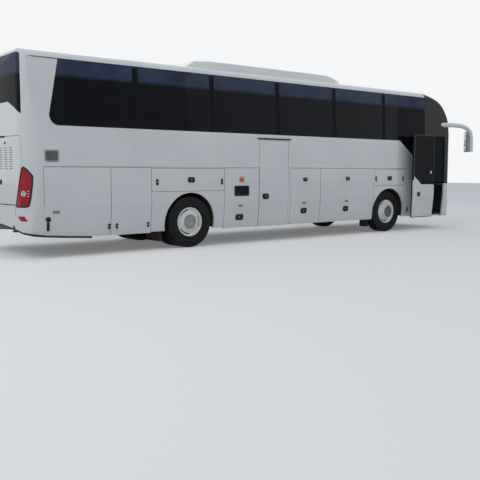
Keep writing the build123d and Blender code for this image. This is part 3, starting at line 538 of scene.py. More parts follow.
def finishPiece(name, shape, finish, body, bevel=0.0, segments=2, smooth=True):
    # cleans the mesh, rounds its edges, gives it its finish, and hangs the piece on its body
    bmesh.ops.remove_doubles(shape, verts=shape.verts, dist=1e-5)
    bmesh.ops.recalc_face_normals(shape, faces=shape.faces)
    if bevel:
        sharp = [e for e in shape.edges if e.is_manifold and e.calc_face_angle(0) > radians(30)]
        bmesh.ops.bevel(shape, geom=sharp, offset=bevel, segments=segments, profile=0.5, affect="EDGES",
                        material=-1, clamp_overlap=True)
    mesh = bpy.data.meshes.new(name)
    shape.to_mesh(mesh)
    shape.free()
    piece = bpy.data.objects.new(name, mesh)
    bpy.context.scene.collection.objects.link(piece)
    mesh.materials.append(finishes[finish])
    if smooth:
        mesh.shade_smooth()
        mesh.set_sharp_from_angle(angle=radians(35))
    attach(piece, body)
    return piece


# wheels
print("turning tyres and wheel covers")
sideNames = {1: "left", -1: "right"}
wheels = {"tyreR": 0.512, "halfWidth": 0.145, "boreR": 0.2865, "axleZ": 0.512, "steps": 96,
          "frontX": 3.2, "rearX": -2.86, "frontY": (1.05,), "rearY": (1.095, 0.755),
          "grooves": (0.028, 0.078), "grooveW": 0.009, "grooveDepth": 0.013, "shoulderY": 0.113,
          "blockInset": 0.003, "blockDepth": 0.009, "slots": 3, "slotSteps": 15, "slotBand": (0.228, 0.25),
          "slotStart": {"front": radians(107), "rear": radians(95)}, "slotWall": 0.02,
          "hubR": 0.144, "bolts": 10, "boltRingR": 0.11, "boltR": 0.009}


def tyreProfile():
    # one half of the section, from the middle of the tread to the bead: radius, place across
    r, half, edge = wheels["tyreR"], wheels["halfWidth"], wheels["grooveW"] / 2
    points = [(r, 0.0)]
    for y in wheels["grooves"]:
        low = r - wheels["grooveDepth"]
        points += [(r, y - edge - 0.002), (low, y - edge), (low, y + edge), (r, y + edge + 0.002)]
    points += [(r - 0.001, wheels["shoulderY"]), (r - 0.006, 0.127), (r - 0.017, 0.134), (r - 0.045, 0.139),
               (0.43, 0.143), (0.4, half), (0.375, 0.1445), (0.371, half), (0.36, half), (0.356, 0.142),
               (0.33, 0.137), (0.306, 0.13), (0.297, 0.127), (0.291, 0.12), (wheels["boreR"], 0.112)]
    return points


def stepAround(away, start):
    # which of the wheel's steps a place lies in, counted from an angle
    turn = Vector((away.x, away.z)).angle_signed(Vector((1, 0)), 0)
    return int((turn - start) / tau * wheels["steps"] + 0.25)


def makeTyre(shape, x, y):
    half = tyreProfile()
    ring = [(r, -across) for r, across in reversed(half[1:])] + half
    middle = Vector((x, y, wheels["axleZ"]))
    addLathe(shape, ring + [ring[0]], middle, wheels["steps"])
    # every second face of the shoulder ribs sinks in, which leaves tread blocks
    bmesh.ops.recalc_face_normals(shape, faces=shape.faces)
    blocks = []
    for face in shape.faces:
        away = face.calc_center_median() - middle
        shoulder = wheels["grooves"][1] < abs(away.y) < wheels["shoulderY"]
        if shoulder and away.xz.length > wheels["tyreR"] - 0.004 and stepAround(away, -pi) % 2 == 0:
            blocks.append(face)
    bmesh.ops.inset_individual(shape, faces=blocks, thickness=wheels["blockInset"],
                               depth=-wheels["blockDepth"])


def makeCover(shape, x, side, profile, backY, slotStart):
    # the enamelled disc: a lathed skin with curved slots, their walls turned in
    middle = Vector((x, 0, wheels["axleZ"]))
    addLathe(shape, [(r, side * y) for r, y in profile], middle, wheels["steps"])
    low, high = wheels["slotBand"]
    period = wheels["steps"] // wheels["slots"]
    holes = []
    for face in shape.faces:
        away = face.calc_center_median() - middle
        step = stepAround(away, slotStart - 2 * tau)
        if low < away.xz.length < high and step % period < wheels["slotSteps"]:
            holes.append(face)
    bmesh.ops.delete(shape, geom=holes, context="FACES")
    bmesh.ops.remove_doubles(shape, verts=shape.verts, dist=1e-6)
    rims = [e for e in shape.edges if e.is_boundary
            and low - 0.004 < ((e.verts[0].co + e.verts[1].co) / 2 - middle).xz.length < high + 0.004]
    grown = bmesh.ops.extrude_edge_only(shape, edges=rims)["geom"]
    for vert in grown:
        if isinstance(vert, bmesh.types.BMVert):
            vert.co.y = side * backY


# covers from the rim flange to the hub: radius, place along the axle
coverProfiles = {
    "front": [(0.283, 1.13), (0.288, 1.165), (0.291, 1.179), (0.289, 1.186), (0.281, 1.187), (0.268, 1.184),
              (0.263, 1.165), (0.252, 1.157), (0.25, 1.158), (0.228, 1.165), (0.226, 1.166), (0.206, 1.178),
              (0.19, 1.21), (0.178, 1.24), (0.168, 1.256), (0.158, 1.26), (0.15, 1.255), (0.145, 1.24)],
    "rear": [(0.283, 1.17), (0.288, 1.206), (0.291, 1.223), (0.289, 1.231), (0.281, 1.232), (0.268, 1.229),
             (0.263, 1.208), (0.252, 1.199), (0.25, 1.2), (0.228, 1.204), (0.226, 1.205), (0.2, 1.216),
             (0.18, 1.232), (0.165, 1.242), (0.155, 1.244), (0.149, 1.241), (0.145, 1.23)],
}
# the hub plate's radius, and its place along the axle from the cover's inner edge
hubProfile = [(wheels["hubR"], -0.02), (wheels["hubR"], 0.0), (0.132, 0.004), (0.126, 0.002), (0.094, 0.002),
              (0.088, 0.008), (0.062, 0.009), (0.056, 0.004), (0.022, 0.004), (0.018, -0.004), (0.0, -0.004)]
for end, side in (("front", 1), ("front", -1), ("rear", 1), ("rear", -1)):
    name = f"{end}_{sideNames[side]}"
    x = wheels[end + "X"]
    body = ("wheel_" if end == "front" else "wheels_") + name
    shape = bmesh.new()
    for y in wheels[end + "Y"]:
        makeTyre(shape, x, side * y)
    tyre = finishPiece("treadedTyre_" + name, shape, "tyreRubber", body)
    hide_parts("tyre_" + name)
    profile = coverProfiles[end]
    shape = bmesh.new()
    makeCover(shape, x, side, profile, profile[8][1] - wheels["slotWall"], wheels["slotStart"][end])
    finishPiece("wheelCover_" + name, shape, "wheelEnamel", body)
    # hub plate with its ring of bolts and the cap in the middle
    shape = bmesh.new()
    face = profile[-1][1]
    addLathe(shape, [(r, side * (face + y)) for r, y in hubProfile], (x, 0, wheels["axleZ"]), 60)
    for boltX, boltZ in circle(x, wheels["axleZ"], wheels["boltRingR"], wheels["bolts"]):
        addDisc(shape, (boltX, side * (face + 0.005), boltZ), wheels["boltR"], 0.012, "Y", 6)
    finishPiece("hubPlate_" + name, shape, "darkHubMetal" if end == "front" else "hubMetal", body)


# side mouldings, gutters and window joints
print("laying the side mouldings")
trim = {"waistZ": 1.597, "waistH": 0.012, "sunk": 0.003, "proud": 0.004, "gutterZ": (3.432, 3.446),
        "gutterX": (-6.09, -6.04, 4.6), "gutterSunk": 0.012, "gutterProud": 0.01, "gutterSlope": 0.004,
        "jointX": (-4.07, -2.31, -0.55, 1.21, 2.97), "jointZ": (2.306, 3.414)}
# first x, last x of the waist moulding on each side
waistRuns = {-1: [(-5.9, -1.14), (-0.17, 3.86)], 1: [(-5.9, 3.86)]}
shape = bmesh.new()
for side, runs in waistRuns.items():
    for x0, x1 in runs:
        addBlock(shape, (x0, side * (skin["half"] - trim["sunk"]), trim["waistZ"] - trim["waistH"] / 2),
                 (x1, side * (skin["half"] + trim["proud"]), trim["waistZ"] + trim["waistH"] / 2))
finishPiece("waistMoulding", shape, "anodisedTrim", "coach_body", bevel=0.002)

shape = bmesh.new()
foot, top = trim["gutterZ"]
tip, bend, end = trim["gutterX"]
for side in (-1, 1):
    for x0, x1, proud in ((bend, end, trim["gutterProud"]), (tip, bend, trim["gutterProud"] / 2)):
        inner, outer = side * (bodyY(top) - trim["gutterSunk"]), side * (bodyY(top) + proud)
        addPrism(shape, [(inner, foot), (inner, top + trim["gutterSlope"]), (outer, top),
                         (outer, foot + trim["gutterSlope"])], ("X", x0), x1 - x0)
finishPiece("roofGutter", shape, "sealRubber", "coach_body", bevel=0.0015)


# joints between the bonded panes, over the black print on the panes' edges
joints = bmesh.new()
edges = bmesh.new()
for side in (-1, 1):
    for x in trim["jointX"]:
        for target, half, proud in ((joints, 0.005, 0.0015), (edges, 0.06, 0.0008)):
            addPlate(target, side, oblong(x - half, trim["jointZ"][0], x + half, trim["jointZ"][1]),
                     -trim["sunk"], proud)
finishPiece("paneJoints", joints, "blackPrint", "coach_body")
finishPiece("paneEdges", edges, "blackPrint", "coach_body")


# latches, locks and markers
print("fitting latches and markers")
latch = {"sunk": -0.003, "ring": 0.008, "floor": 0.003, "pull": 0.009, "rimWidth": 0.009, "barrelR": 0.009}
# width and height of each kind of latch
latchKinds = {"slim": (0.046, 0.1), "tall": (0.05, 0.12), "post": (0.046, 0.12), "arch": (0.165, 0.105),
              "upper": (0.13, 0.086), "lower": (0.178, 0.128), "filler": (0.205, 0.128), "door": (0.172, 0.122)}
# body: side, then kind, x and z of its latches
latchTable = {
    "flap_right_rear_service": (-1, [("slim", -4.66, 0.506)]),
    "flap_right_rear_locker": (-1, [("slim", -4.5, 0.507), ("slim", -3.83, 0.507)]),
    "flap_right_rear_wheel": (-1, [("arch", -2.85, 1.348), ("tall", -3.64, 1.307), ("tall", -2.09, 1.307)]),
    "flap_right_filler": (-1, [("filler", -1.61, 0.559)]),
    "flap_right_luggage_rear": (-1, [("upper", 0.27, 1.337), ("lower", 0.25, 0.634)]),
    "flap_right_luggage_front": (-1, [("upper", 1.67, 1.347), ("lower", 1.63, 0.636)]),
    "flap_right_front_wheel": (-1, [("tall", 2.69, 1.34), ("arch", 3.21, 1.348), ("tall", 3.73, 1.34)]),
    "coach_body": (-1, [("post", 3.97, 0.54)]),
    "mid_door": (-1, [("door", -0.908, 0.982)]),
    "flap_left_rear_service": (1, [("lower", -5.8, 0.6), ("slim", -4.72, 0.506)]),
    "flap_left_rear_locker": (1, [("slim", -4.5, 0.507), ("slim", -3.9, 0.507)]),
    "flap_left_rear_wheel": (1, [("arch", -2.85, 1.348), ("tall", -3.64, 1.307), ("tall", -2.09, 1.307)]),
    "flap_left_luggage_rear": (1, [("upper", -1.13, 1.337), ("lower", -1.13, 0.634)]),
    "flap_left_luggage_mid": (1, [("upper", 0.47, 1.337), ("lower", 0.47, 0.634)]),
    "flap_left_luggage_front": (1, [("upper", 1.9, 1.337), ("lower", 1.9, 0.634)]),
    "flap_left_front_wheel": (1, [("tall", 2.69, 1.34), ("arch", 3.21, 1.348), ("tall", 3.73, 1.34)]),
}
for latchBody in sorted(latchTable):
    side, rows = latchTable[latchBody]
    shape = bmesh.new()
    barrels = bmesh.new()
    for kind, x, z in rows:
        # a bezel round a shallow bowl, with a pull and a lock barrel inside
        w, h = latchKinds[kind]
        corner = min(w, h) * 0.3
        addPlate(shape, side, roundedBox(x, z, w, h, corner), latch["sunk"], latch["ring"],
                 roundedBox(x, z, w - 2 * latch["rimWidth"], h - 2 * latch["rimWidth"], corner - 0.007))
        addPlate(shape, side, roundedBox(x, z, w - 0.016, h - 0.016, corner - 0.007), latch["sunk"],
                 latch["floor"])
        addPlate(shape, side, roundedBox(x, z, (w - 0.03) * 0.8, (h - 0.03) * 0.62, 0.006), latch["sunk"],
                 latch["pull"])
        addDisc(barrels, (x, side * (bodyY(z) + 0.008), z), latch["barrelR"], 0.006, "Y", 16)
    finishPiece("latches_" + latchBody, shape, "blackNylon", latchBody, bevel=0.0012)
    finishPiece("lockBarrels_" + latchBody, barrels, "stainlessSteel", latchBody, bevel=0.001)

# the service flap's round lock with its hanging handle
lock = {"x": -5.838, "z": 0.68, "radius": 0.046, "handleZ": 0.555, "handle": (0.048, 0.15, 0.014),
        "gripZ": 0.535, "grip": (0.03, 0.08, 0.01), "low": 0.014, "high": 0.022}
shape = bmesh.new()
addDisc(shape, (lock["x"], -bodyY(lock["z"]) - 0.006, lock["z"]), lock["radius"], 0.018, "Y", 32)
addPlate(shape, -1, roundedBox(lock["x"], lock["handleZ"], *lock["handle"]), -0.003, lock["low"])
addPlate(shape, -1, roundedBox(lock["x"], lock["gripZ"], *lock["grip"]), lock["low"], lock["high"])
finishPiece("serviceLock", shape, "blackNylon", "flap_right_rear_service", bevel=0.003)

# amber side markers: width, height and corner of base and lens, then side, x and z on each body
marker = {"base": (0.124, 0.044, 0.012), "lens": (0.108, 0.032, 0.01), "low": 0.003, "high": 0.012}
markerTable = {
    "flap_right_rear_service": [(-1, -5.69, 0.805)], "flap_right_filler": [(-1, -1.59, 0.8)],
    "flap_right_luggage_rear": [(-1, 0.25, 0.807)], "flap_right_luggage_front": [(-1, 1.65, 0.813)],
    "coach_body": [(-1, 4.2, 0.81), (1, 4.9, 0.813)], "flap_left_rear_service": [(1, -5.4, 0.805)],
    "flap_left_luggage_rear": [(1, -1.13, 0.8)], "flap_left_luggage_mid": [(1, 0.47, 0.807)],
    "flap_left_luggage_front": [(1, 1.9, 0.813)],
}
for markerBody in sorted(markerTable):
    base = bmesh.new()
    lens = bmesh.new()
    for side, x, z in markerTable[markerBody]:
        addPlate(base, side, roundedBox(x, z, *marker["base"]), -0.003, marker["low"] + 0.001)
        addPlate(lens, side, roundedBox(x, z, *marker["lens"]), marker["low"], marker["high"])
    finishPiece("markerBase_" + markerBody, base, "blackNylon", markerBody, bevel=0.001)
    finishPiece("markerLens_" + markerBody, lens, "amberLens", markerBody, bevel=0.003, segments=3)

# filler cap with its grip in a ring
filler = {"x": -1.57, "z": 1.346, "ring": (0.15, 0.15, 0.074), "hole": (0.126, 0.126, 0.062), "capR": 0.052,
          "stepR": 0.034}
x, z = filler["x"], filler["z"]
shape = bmesh.new()
addPlate(shape, -1, roundedBox(x, z, *filler["ring"], 8), -0.003, 0.003, roundedBox(x, z, *filler["hole"], 8))
finishPiece("fillerRing", shape, "anodisedTrim", "flap_right_filler", bevel=0.001)
shape = bmesh.new()
addDisc(shape, (x, -1.281, z), filler["capR"], 0.02, "Y", 40)
addDisc(shape, (x, -1.294, z), filler["stepR"], 0.01, "Y", 40)
addBlock(shape, (x - 0.03, -1.306, z - 0.007), (x + 0.03, -1.296, z + 0.007))
finishPiece("fillerCap", shape, "orangePlastic", "flap_right_filler", bevel=0.002)

# rain bar over the middle door
midDoor = {"x": (-1.088, -0.242), "z": (0.35, 2.198), "seal": 0.007, "sealDepth": (-0.03, -0.001),
           "barX": (-1.135, -0.18), "barZ": (2.2, 2.226), "barSlope": 0.005, "barProud": 0.02}
shape = bmesh.new()
(x0, x1), (z0, z1), slope = midDoor["barX"], midDoor["barZ"], midDoor["barSlope"]
addPlate(shape, -1, [(x0, z0), (x1, z0), (x1 - slope, z1), (x0 + slope, z1)], -0.003, midDoor["barProud"])
finishPiece("rainBar", shape, "sealRubber", "coach_body", bevel=0.006, segments=3)

# rubber seals in the shut lines of the middle door
shape = bmesh.new()
(x0, x1), (z0, z1), seal = midDoor["x"], midDoor["z"], midDoor["seal"]
for outline in (oblong(x0, z0, x0 + seal, z1 - 0.001), oblong(x1 - seal, z0, x1, z1 - 0.001),
                oblong(x0, z1 - seal, x1, z1)):
    addPlate(shape, -1, outline, *midDoor["sealDepth"])
finishPiece("middleDoorSeal", shape, "sealRubber", "coach_body")

# vents: rounded frame with a lattice, in the openings of the CAD grilles
print("weaving the vents and the arch liners")
vents = {"frame": 0.03, "lap": 0.004, "corner": 0.034, "innerCorner": 0.022, "frameDepth": (-0.03, 0.006),
         "backDepth": (-0.034, -0.028), "mesh": (0.0115, 0.0035, -0.006, -0.003, 0.012)}
# name, sides, x, z, frame finish, mesh finish, body, replaced node
ventTable = [
    ("rearVent", (-1, 1), (-5.888, -5.622), (1.671, 1.884), "greyPowder", "greyMesh", "coach_body",
     "side_vents"),
    ("fillerVent", (-1,), (-1.765, -1.369), (1.003, 1.217), "navyMesh", "navyMesh", "flap_right_filler",
     "filler_grille"),
]
for name, sides, x, z, frameFinish, meshFinish, body, node in ventTable:
    frames = bmesh.new()
    meshes = bmesh.new()
    middle = ((x[0] + x[1]) / 2, (z[0] + z[1]) / 2)
    wide, tall = x[1] - x[0], z[1] - z[0]
    edge = vents["frame"] - vents["lap"]
    for side in sides:
        place = sidePlace(side)
        rim = 2 * vents["frame"]
        addSheet(frames, place, roundedBox(*middle, wide, tall, vents["corner"], 6), *vents["frameDepth"],
                 roundedBox(*middle, wide - rim, tall - rim, vents["innerCorner"], 6))
        addLattice(meshes, place, (x[0] + edge, x[1] - edge), (z[0] + edge, z[1] - edge), *vents["mesh"])
        addSheet(meshes, place, roundedBox(*middle, wide - 0.01, tall - 0.01, vents["corner"], 6),
                 *vents["backDepth"])
    framePiece = finishPiece(name + "Frame", frames, frameFinish, body, bevel=0.003)
    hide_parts(node)
    finishPiece(name + "Mesh", meshes, meshFinish, body)

# moulded arch liners: half an ellipse over each wheel with an inner wall that leaves room for the axle; below
# the arch, legs and wall reach down to the skirt as painted shade, a black sheet that stands for the shade
# under the body
liner = {"rx": 0.615, "rz": 0.61, "foot": 0.495, "thick": 0.006, "wall": 0.004, "outer": 1.18, "inner": 0.5,
         "steps": 24, "shadeLegZ": 0.38, "notchHalf": 0.17, "notchZ": 0.7}


def archLine(axleX, grow):
    # half an ellipse over a wheel, with a leg at each end that reaches down to the skirt as painted shade
    turns = [pi * k / liner["steps"] for k in range(liner["steps"] + 1)]
    wide, tall = liner["rx"] + grow, liner["rz"] + grow
    arc = [(axleX + wide * cos(turn), liner["foot"] + tall * sin(turn)) for turn in turns]
    return [(arc[0][0], liner["shadeLegZ"])] + arc + [(arc[-1][0], liner["shadeLegZ"])]


shape = bmesh.new()
for axleX in (wheels["frontX"], wheels["rearX"]):
    near, far = archLine(axleX, 0.0), archLine(axleX, liner["thick"])
    low, high = axleX - liner["notchHalf"], axleX + liner["notchHalf"]
    notch = [(low, liner["shadeLegZ"]), (low, liner["notchZ"]), (high, liner["notchZ"]), (high, liner["shadeLegZ"])]
    for side in (-1, 1):
        inner, outer = side * liner["inner"], side * liner["outer"]
        for k in range(len(near) - 1):
            addPrism(shape, [near[k], near[k + 1], far[k + 1], far[k]], ("Y", inner), outer - inner)
        addPrism(shape, near + notch, ("Y", inner), -side * liner["wall"])
finishPiece("archLinersAndShadeSheet", shape, "chassisPaint", "coach_body", smooth=False)


# rear: lamp surrounds, reversing lamps, reflectors, high lamps, seams, towing hooks
print("dressing the tail")
lampOutline = [(-0.267, 0.905), (-0.031, 0.908), (0.016, 0.926), (0.048, 1.072), (0.075, 1.283), (0.083, 1.43),
               (0.003, 1.528), (-0.059, 1.58), (-0.093, 1.563), (-0.165, 1.282)]
# ribs and reversing lamp on the red skin, in the corner view
tailLamp = {"ribs": (-0.12, 0.045), "ribZ": (1.01, 1.245, 1.33, 1.415), "ribH": 0.005, "at": (-0.076, 1.132),
            "radius": 0.05, "glassR": 0.043, "barAt": 0.01, "barZ": (1.087, 1.132, 1.177),
            "bar": (0.036, 0.01, 0.0045, 3)}


def shrink(outline, gap):
    # the outline moved inwards by a gap, along the halved angle of each corner
    points = []
    for before, corner, after in zip(outline[-1:] + outline[:-1], outline, outline[1:] + outline[:1]):
        one = (Vector(corner) - Vector(before)).normalized()
        two = (Vector(after) - Vector(corner)).normalized()
        inward = (Vector((-one.y, one.x)) + Vector((-two.y, two.x))).normalized()
        reach = min(gap / max(inward.dot(Vector((-one.y, one.x))), 0.35), 2.5 * gap)
        points.append(tuple(Vector(corner) + inward * reach))
    return points


surround = bmesh.new()
clear = bmesh.new()
bulbs = bmesh.new()
for side in (-1, 1):
    place = cornerPlace(side)
    edge = refine(lampOutline, 0.04)
    addSheet(surround, place, shrink(edge, -0.006), -0.004, 0.003, shrink(edge, 0.01))
    for z in tailLamp["ribZ"]:
        addSheet(surround, place, oblong(tailLamp["ribs"][0], z, tailLamp["ribs"][1], z + tailLamp["ribH"]),
                 -0.002, 0.0015)
    small = circle(*tailLamp["at"], tailLamp["glassR"])
    addSheet(bulbs, place, circle(*tailLamp["at"], tailLamp["radius"]), -0.002, 0.006, small)
    addSheet(bulbs, place, small, -0.002, 0.002)
    addSheet(clear, place, small, 0.0025, 0.005)
    for z in tailLamp["barZ"]:
        addSheet(bulbs, place, roundedBox(tailLamp["barAt"], z, *tailLamp["bar"]), -0.002, 0.003)
finishPiece("tailLampSurround", surround, "blackNylon", "coach_body")
finishPiece("reversingLamps", clear, "clearLens", "coach_body")
finishPiece("tailLampRings", bulbs, "lampSilver", "coach_body")

# the bumper's reflectors, upright seams, towing hooks and the skin of its lower corners, open in the solid
reflector = [(0.98, 0.741), (1.15, 0.744), (1.205, 0.66), (1.075, 0.66)]
cornerSkin = [(1.1, 0.466), (1.19, 0.449), (1.19, 0.568), (1.1, 0.568)]
hookOutline = [(0.83, 0.485), (0.76, 0.572), (0.728, 0.572), (0.73, 0.545), (0.765, 0.51), (0.69, 0.53),
               (0.655, 0.495)]
red = bmesh.new()
dark = bmesh.new()
foot = bmesh.new()
hooks = bmesh.new()
for side in (-1, 1):
    place = tailPlace(side)
    addPatch(red, place, reflector, 6, -0.004, 0.004)
    addPatch(foot, place, cornerSkin, 8, -0.03, -0.0006)
    addSheet(dark, place, oblong(0.887, 0.74, 0.893, 0.9), -0.003, 0.0008)
    addSheet(hooks, place, hookOutline, -0.01, 0.006)
finishPiece("rearReflectors", red, "redLens", "coach_body", bevel=0.0015)
finishPiece("bumperSeams", dark, "sealRubber", "coach_body")
finishPiece("towHooks", hooks, "chassisPaint", "coach_body", bevel=0.002)
finishPiece("bumperCorners", foot, "coachPaint", "coach_body")

# pointed lamps high on the corners, where the tail leans in
highLamp = [(0.985, 3.4), (1.095, 3.4), (1.105, 3.42), (1.075, 3.47), (1.02, 3.48), (0.985, 3.455)]
highLean = {"z": 3.3, "slope": 0.167}
shape = bmesh.new()
rim = bmesh.new()
for side in (-1, 1):
    def place(a, b, depth, side=side):
        x, y, z = tailPoint(side * a, b, depth)
        return (x + max(0.0, z - highLean["z"]) * highLean["slope"], y, z)
    addSheet(shape, place, refine(highLamp, 0.03), -0.01, 0.014)
    addSheet(rim, place, refine(shrink(highLamp, -0.008), 0.03), -0.01, 0.008)
finishPiece("highLamps", shape, "redLens", "coach_body", bevel=0.003)
finishPiece("highLampRims", rim, "blackNylon", "coach_body", bevel=0.001)

# engine door: grip bar at the top, two latches, two round locks, and a fine mesh behind the louvres
engineDoor = {"bar": (-0.53, 2.098, 0.53, 2.134), "latchY": 0.289, "latchZ": 1.323, "latch": (0.13, 0.09),
              "lockY": 0.538, "lockZ": 2.006, "lock": (0.05, 0.05, 0.0245, 6),
              "meshY": (0.235, 0.845), "meshZ": (1.53, 1.945), "mesh": (0.012, 0.006, -0.014, -0.01)}
shape = bmesh.new()
addSheet(shape, tailPoint, refine(oblong(*engineDoor["bar"]), 0.12), -0.004, 0.003)
w, h = engineDoor["latch"]
for side in (-1, 1):
    at = (side * engineDoor["latchY"], engineDoor["latchZ"])
    addSheet(shape, tailPoint, roundedBox(*at, w, h, 0.025), -0.003, 0.004,
             roundedBox(*at, w - 0.02, h - 0.02, 0.018))
    addSheet(shape, tailPoint, roundedBox(*at, w - 0.018, h - 0.018, 0.018), -0.003, 0.0012)
    addSheet(shape, tailPoint, roundedBox(*at, w - 0.05, h - 0.05, 0.008), -0.003, 0.004)
    at = (side * engineDoor["lockY"], engineDoor["lockZ"])
    addSheet(shape, tailPoint, roundedBox(*at, *engineDoor["lock"]), -0.003, 0.007)
finishPiece("engineDoorFittings", shape, "blackNylon", "engine_door", bevel=0.003)
shape = bmesh.new()
for side in (-1, 1):
    addLattice(shape, tailPlace(side), engineDoor["meshY"], engineDoor["meshZ"], *engineDoor["mesh"])
finishPiece("louvreMesh", shape, "greyPowder", "engine_door")


# front door: rubber edges, lock, knob, painted corner and rails, drawn shut and moved to the open leaf
print("hanging the door fittings")
door = {"shift": (-0.7914, -0.2648), "proud": 0.0012, "lockAt": (4.834, 0.939),
        "knob": (5.32, 1.5, 0.048, 0.07, 0.023, 5),
        "corner": [(4.646, 1.185), (4.94, 1.185), (4.94, 1.19), (4.646, 1.4)],
        "railX": (4.9, 5.2), "railY": (-1.215, -1.15), "railZ": (0.8, 1.55), "railR": 0.014}
# corner to corner, and how deep each rubber reaches
doorRubbers = [((4.63, 0.345, 4.645, 2.445), -0.04), ((5.455, 0.345, 5.47, 2.445), -0.04),
               ((4.645, 0.342, 5.455, 0.36), -0.03), ((4.645, 2.43, 5.455, 2.445), -0.03)]
shape = bmesh.new()
for corners, low in doorRubbers:
    addPlate(shape, -1, oblong(*corners), low, door["proud"], shift=door["shift"])
finishPiece("frontDoorRubber", shape, "sealRubber", "front_door")
shape = bmesh.new()
lockX, lockZ = door["lockAt"]
addPlate(shape, -1, roundedBox(lockX, lockZ, 0.112, 0.112, 0.016), -0.002, 0.006,
         roundedBox(lockX, lockZ, 0.094, 0.094, 0.01), door["shift"])
addPlate(shape, -1, roundedBox(lockX, lockZ, 0.096, 0.096, 0.01), -0.002, 0.002, shift=door["shift"])
addPlate(shape, -1, roundedBox(lockX, lockZ + 0.005, 0.06, 0.034, 0.01), -0.002, 0.01, shift=door["shift"])
finishPiece("frontDoorLock", shape, "blackNylon", "front_door", bevel=0.0015)
shape = bmesh.new()
addPlate(shape, -1, roundedBox(*door["knob"]), -0.004, 0.016, shift=door["shift"])
finishPiece("frontDoorKnob", shape, "coachPaint", "front_door", bevel=0.004, segments=3)
shape = bmesh.new()
addPlate(shape, -1, door["corner"], -0.002, 0.0014, shift=door["shift"])
finishPiece("frontDoorCorner", shape, "coachPaint", "front_door")
shape = bmesh.new()
(y0, y1), (z0, z1) = door["railY"], door["railZ"]
for x in door["railX"]:
    path = roundPath([(x, y0, z0), (x, y1, z0), (x, y1, z1), (x, y0, z1)], 0.04)
    addTube(shape, [p + Vector((*door["shift"], 0)) for p in path], door["railR"], 12)
finishPiece("frontDoorRails", shape, "blackNylon", "front_door")

# bright edges on the treads of both stairs: first and last x, then y and z of each tread's edge
treadTable = {(4.63, 5.48): [(-1.16, 0.36), (-0.95, 0.66), (-0.66, 0.95)],
              (-1.08, -0.25): [(-1.16, 0.36), (-0.98, 0.62), (-0.8, 0.88), (-0.62, 1.14), (-0.44, 1.42)]}
edgeSection = [(-0.004, -0.03), (-0.004, 0.003), (0.03, 0.003), (0.03, 0.0), (0.0, 0.0), (0.0, -0.03)]
shape = bmesh.new()
for (x0, x1), treads in treadTable.items():
    for y, z in treads:
        addPrism(shape, [(y + a, z + b) for a, b in edgeSection], ("X", x0), x1 - x0)
finishPiece("stepEdges", shape, "anodisedTrim", "coach_body")


# dark seals in the shut lines of the flaps, and a black bead under the tail
print("sealing the shut lines")
seam = {"width": 0.006, "deep": -0.03, "shallow": -0.022, "flush": -0.0015,
        "tail": (-5.91, 0.395, 1.585), "tailDepth": (-0.001, 0.0008)}
# upright seals on both sides: x, foot, top, the flap that carries it or none for the body
uprightSeals = [
    (-4.625, 0.345, 1.575, "rear_locker"), (-3.765, 0.345, 1.12, None), (-3.765, 1.13, 1.566, "rear_wheel"),
    (-2.02, 0.345, 1.12, None), (-2.02, 1.13, 1.566, "rear_wheel"), (2.615, 0.345, 1.16, None),
    (2.615, 1.17, 1.566, "front_wheel"), (3.805, 1.17, 1.57, None),
]
# seals of one side only
sideSeals = {
    -1: [(-1.09, 0.345, 1.585, None), (-0.175, 0.345, 1.585, None), (0.76, 0.345, 1.575, "luggage_front")],
    1: [(-0.245, 0.345, 1.575, "luggage_mid"), (1.195, 0.345, 1.575, "luggage_front")],
}
# level seals under and over the flaps of the arches: first x, last x, heights
levelSeals = [(-3.76, -2.025, (1.123, 1.571)), (2.62, 3.8, (1.163, 1.571))]


def uprightStrip(x, z0, z1):
    # outline of a seal, with a point where the skirt tucks in
    low, high, fold = x - seam["width"] / 2, x + seam["width"] / 2, skin["tuckZ"]
    if z0 < fold:
        return [(low, z0), (high, z0), (high, fold), (high, z1), (low, z1), (low, fold)]
    return oblong(low, z0, high, z1)


sealShapes = {}
for side in (-1, 1):
    for x, z0, z1, flap in uprightSeals + sideSeals[side]:
        sealBody = f"flap_{sideNames[side]}_{flap}" if flap else "coach_body"
        if sealBody not in sealShapes:
            sealShapes[sealBody] = bmesh.new()
        addPlate(sealShapes[sealBody], side, uprightStrip(x, z0, z1),
                 seam["shallow"] if flap else seam["deep"], seam["flush"])
    body = sealShapes["coach_body"]
    addPlate(body, side, uprightStrip(*seam["tail"]), *seam["tailDepth"])
    for x0, x1, heights in levelSeals:
        for z in heights:
            addPlate(body, side, oblong(x0, z, x1, z + seam["width"]), seam["deep"], seam["flush"])
for sealBody, shape in sealShapes.items():
    finishPiece("flapSeals_" + sealBody, shape, "sealRubber", sealBody, smooth=False)

# the bead's line: y and z across the tail, then x and z along the service flap
footRun = [(0.0, 0.546), (0.19, 0.546), (0.5, 0.517), (0.8, 0.489), (1.0, 0.468), (1.08, 0.456), (1.15, 0.444),
           (1.21, 0.43), (1.25, 0.415)]
sideRun = [(-5.898, 0.388), (-5.5, 0.357), (-5.0, 0.326)]
beadLine = {"radius": 0.021, "sunk": 0.009, "lift": 0.004, "end": (-5.912, 0.393)}
shape = bmesh.new()
for side in (-1, 1):
    path = [tailPoint(side * y, z + beadLine["lift"], -beadLine["sunk"]) for y, z in footRun]
    x, z = beadLine["end"]
    addTube(shape, path + [(x, side * (bodyY(z) - beadLine["sunk"]), z)], beadLine["radius"], 8)
    flapBead = bmesh.new()
    addTube(flapBead, [(x, side * (bodyY(z) - beadLine["sunk"]), z + beadLine["lift"]) for x, z in sideRun],
            beadLine["radius"], 8)
    beadBody = f"flap_{sideNames[side]}_rear_service"
    finishPiece("flapBead_" + beadBody, flapBead, "sealRubber", beadBody)
finishPiece("tailBead", shape, "sealRubber", "coach_body")


# roof pod with its fans, and the hatches' fittings
print("building the roof pod")
pod = {"ends": (-2.598, 1.888), "half": 0.948, "foot": 3.55, "drop": 0.014, "blend": 0.012, "gain": 0.9,
       "lip": 0.006, "cutsX": 56, "cutsY": 28, "top": 3.816}
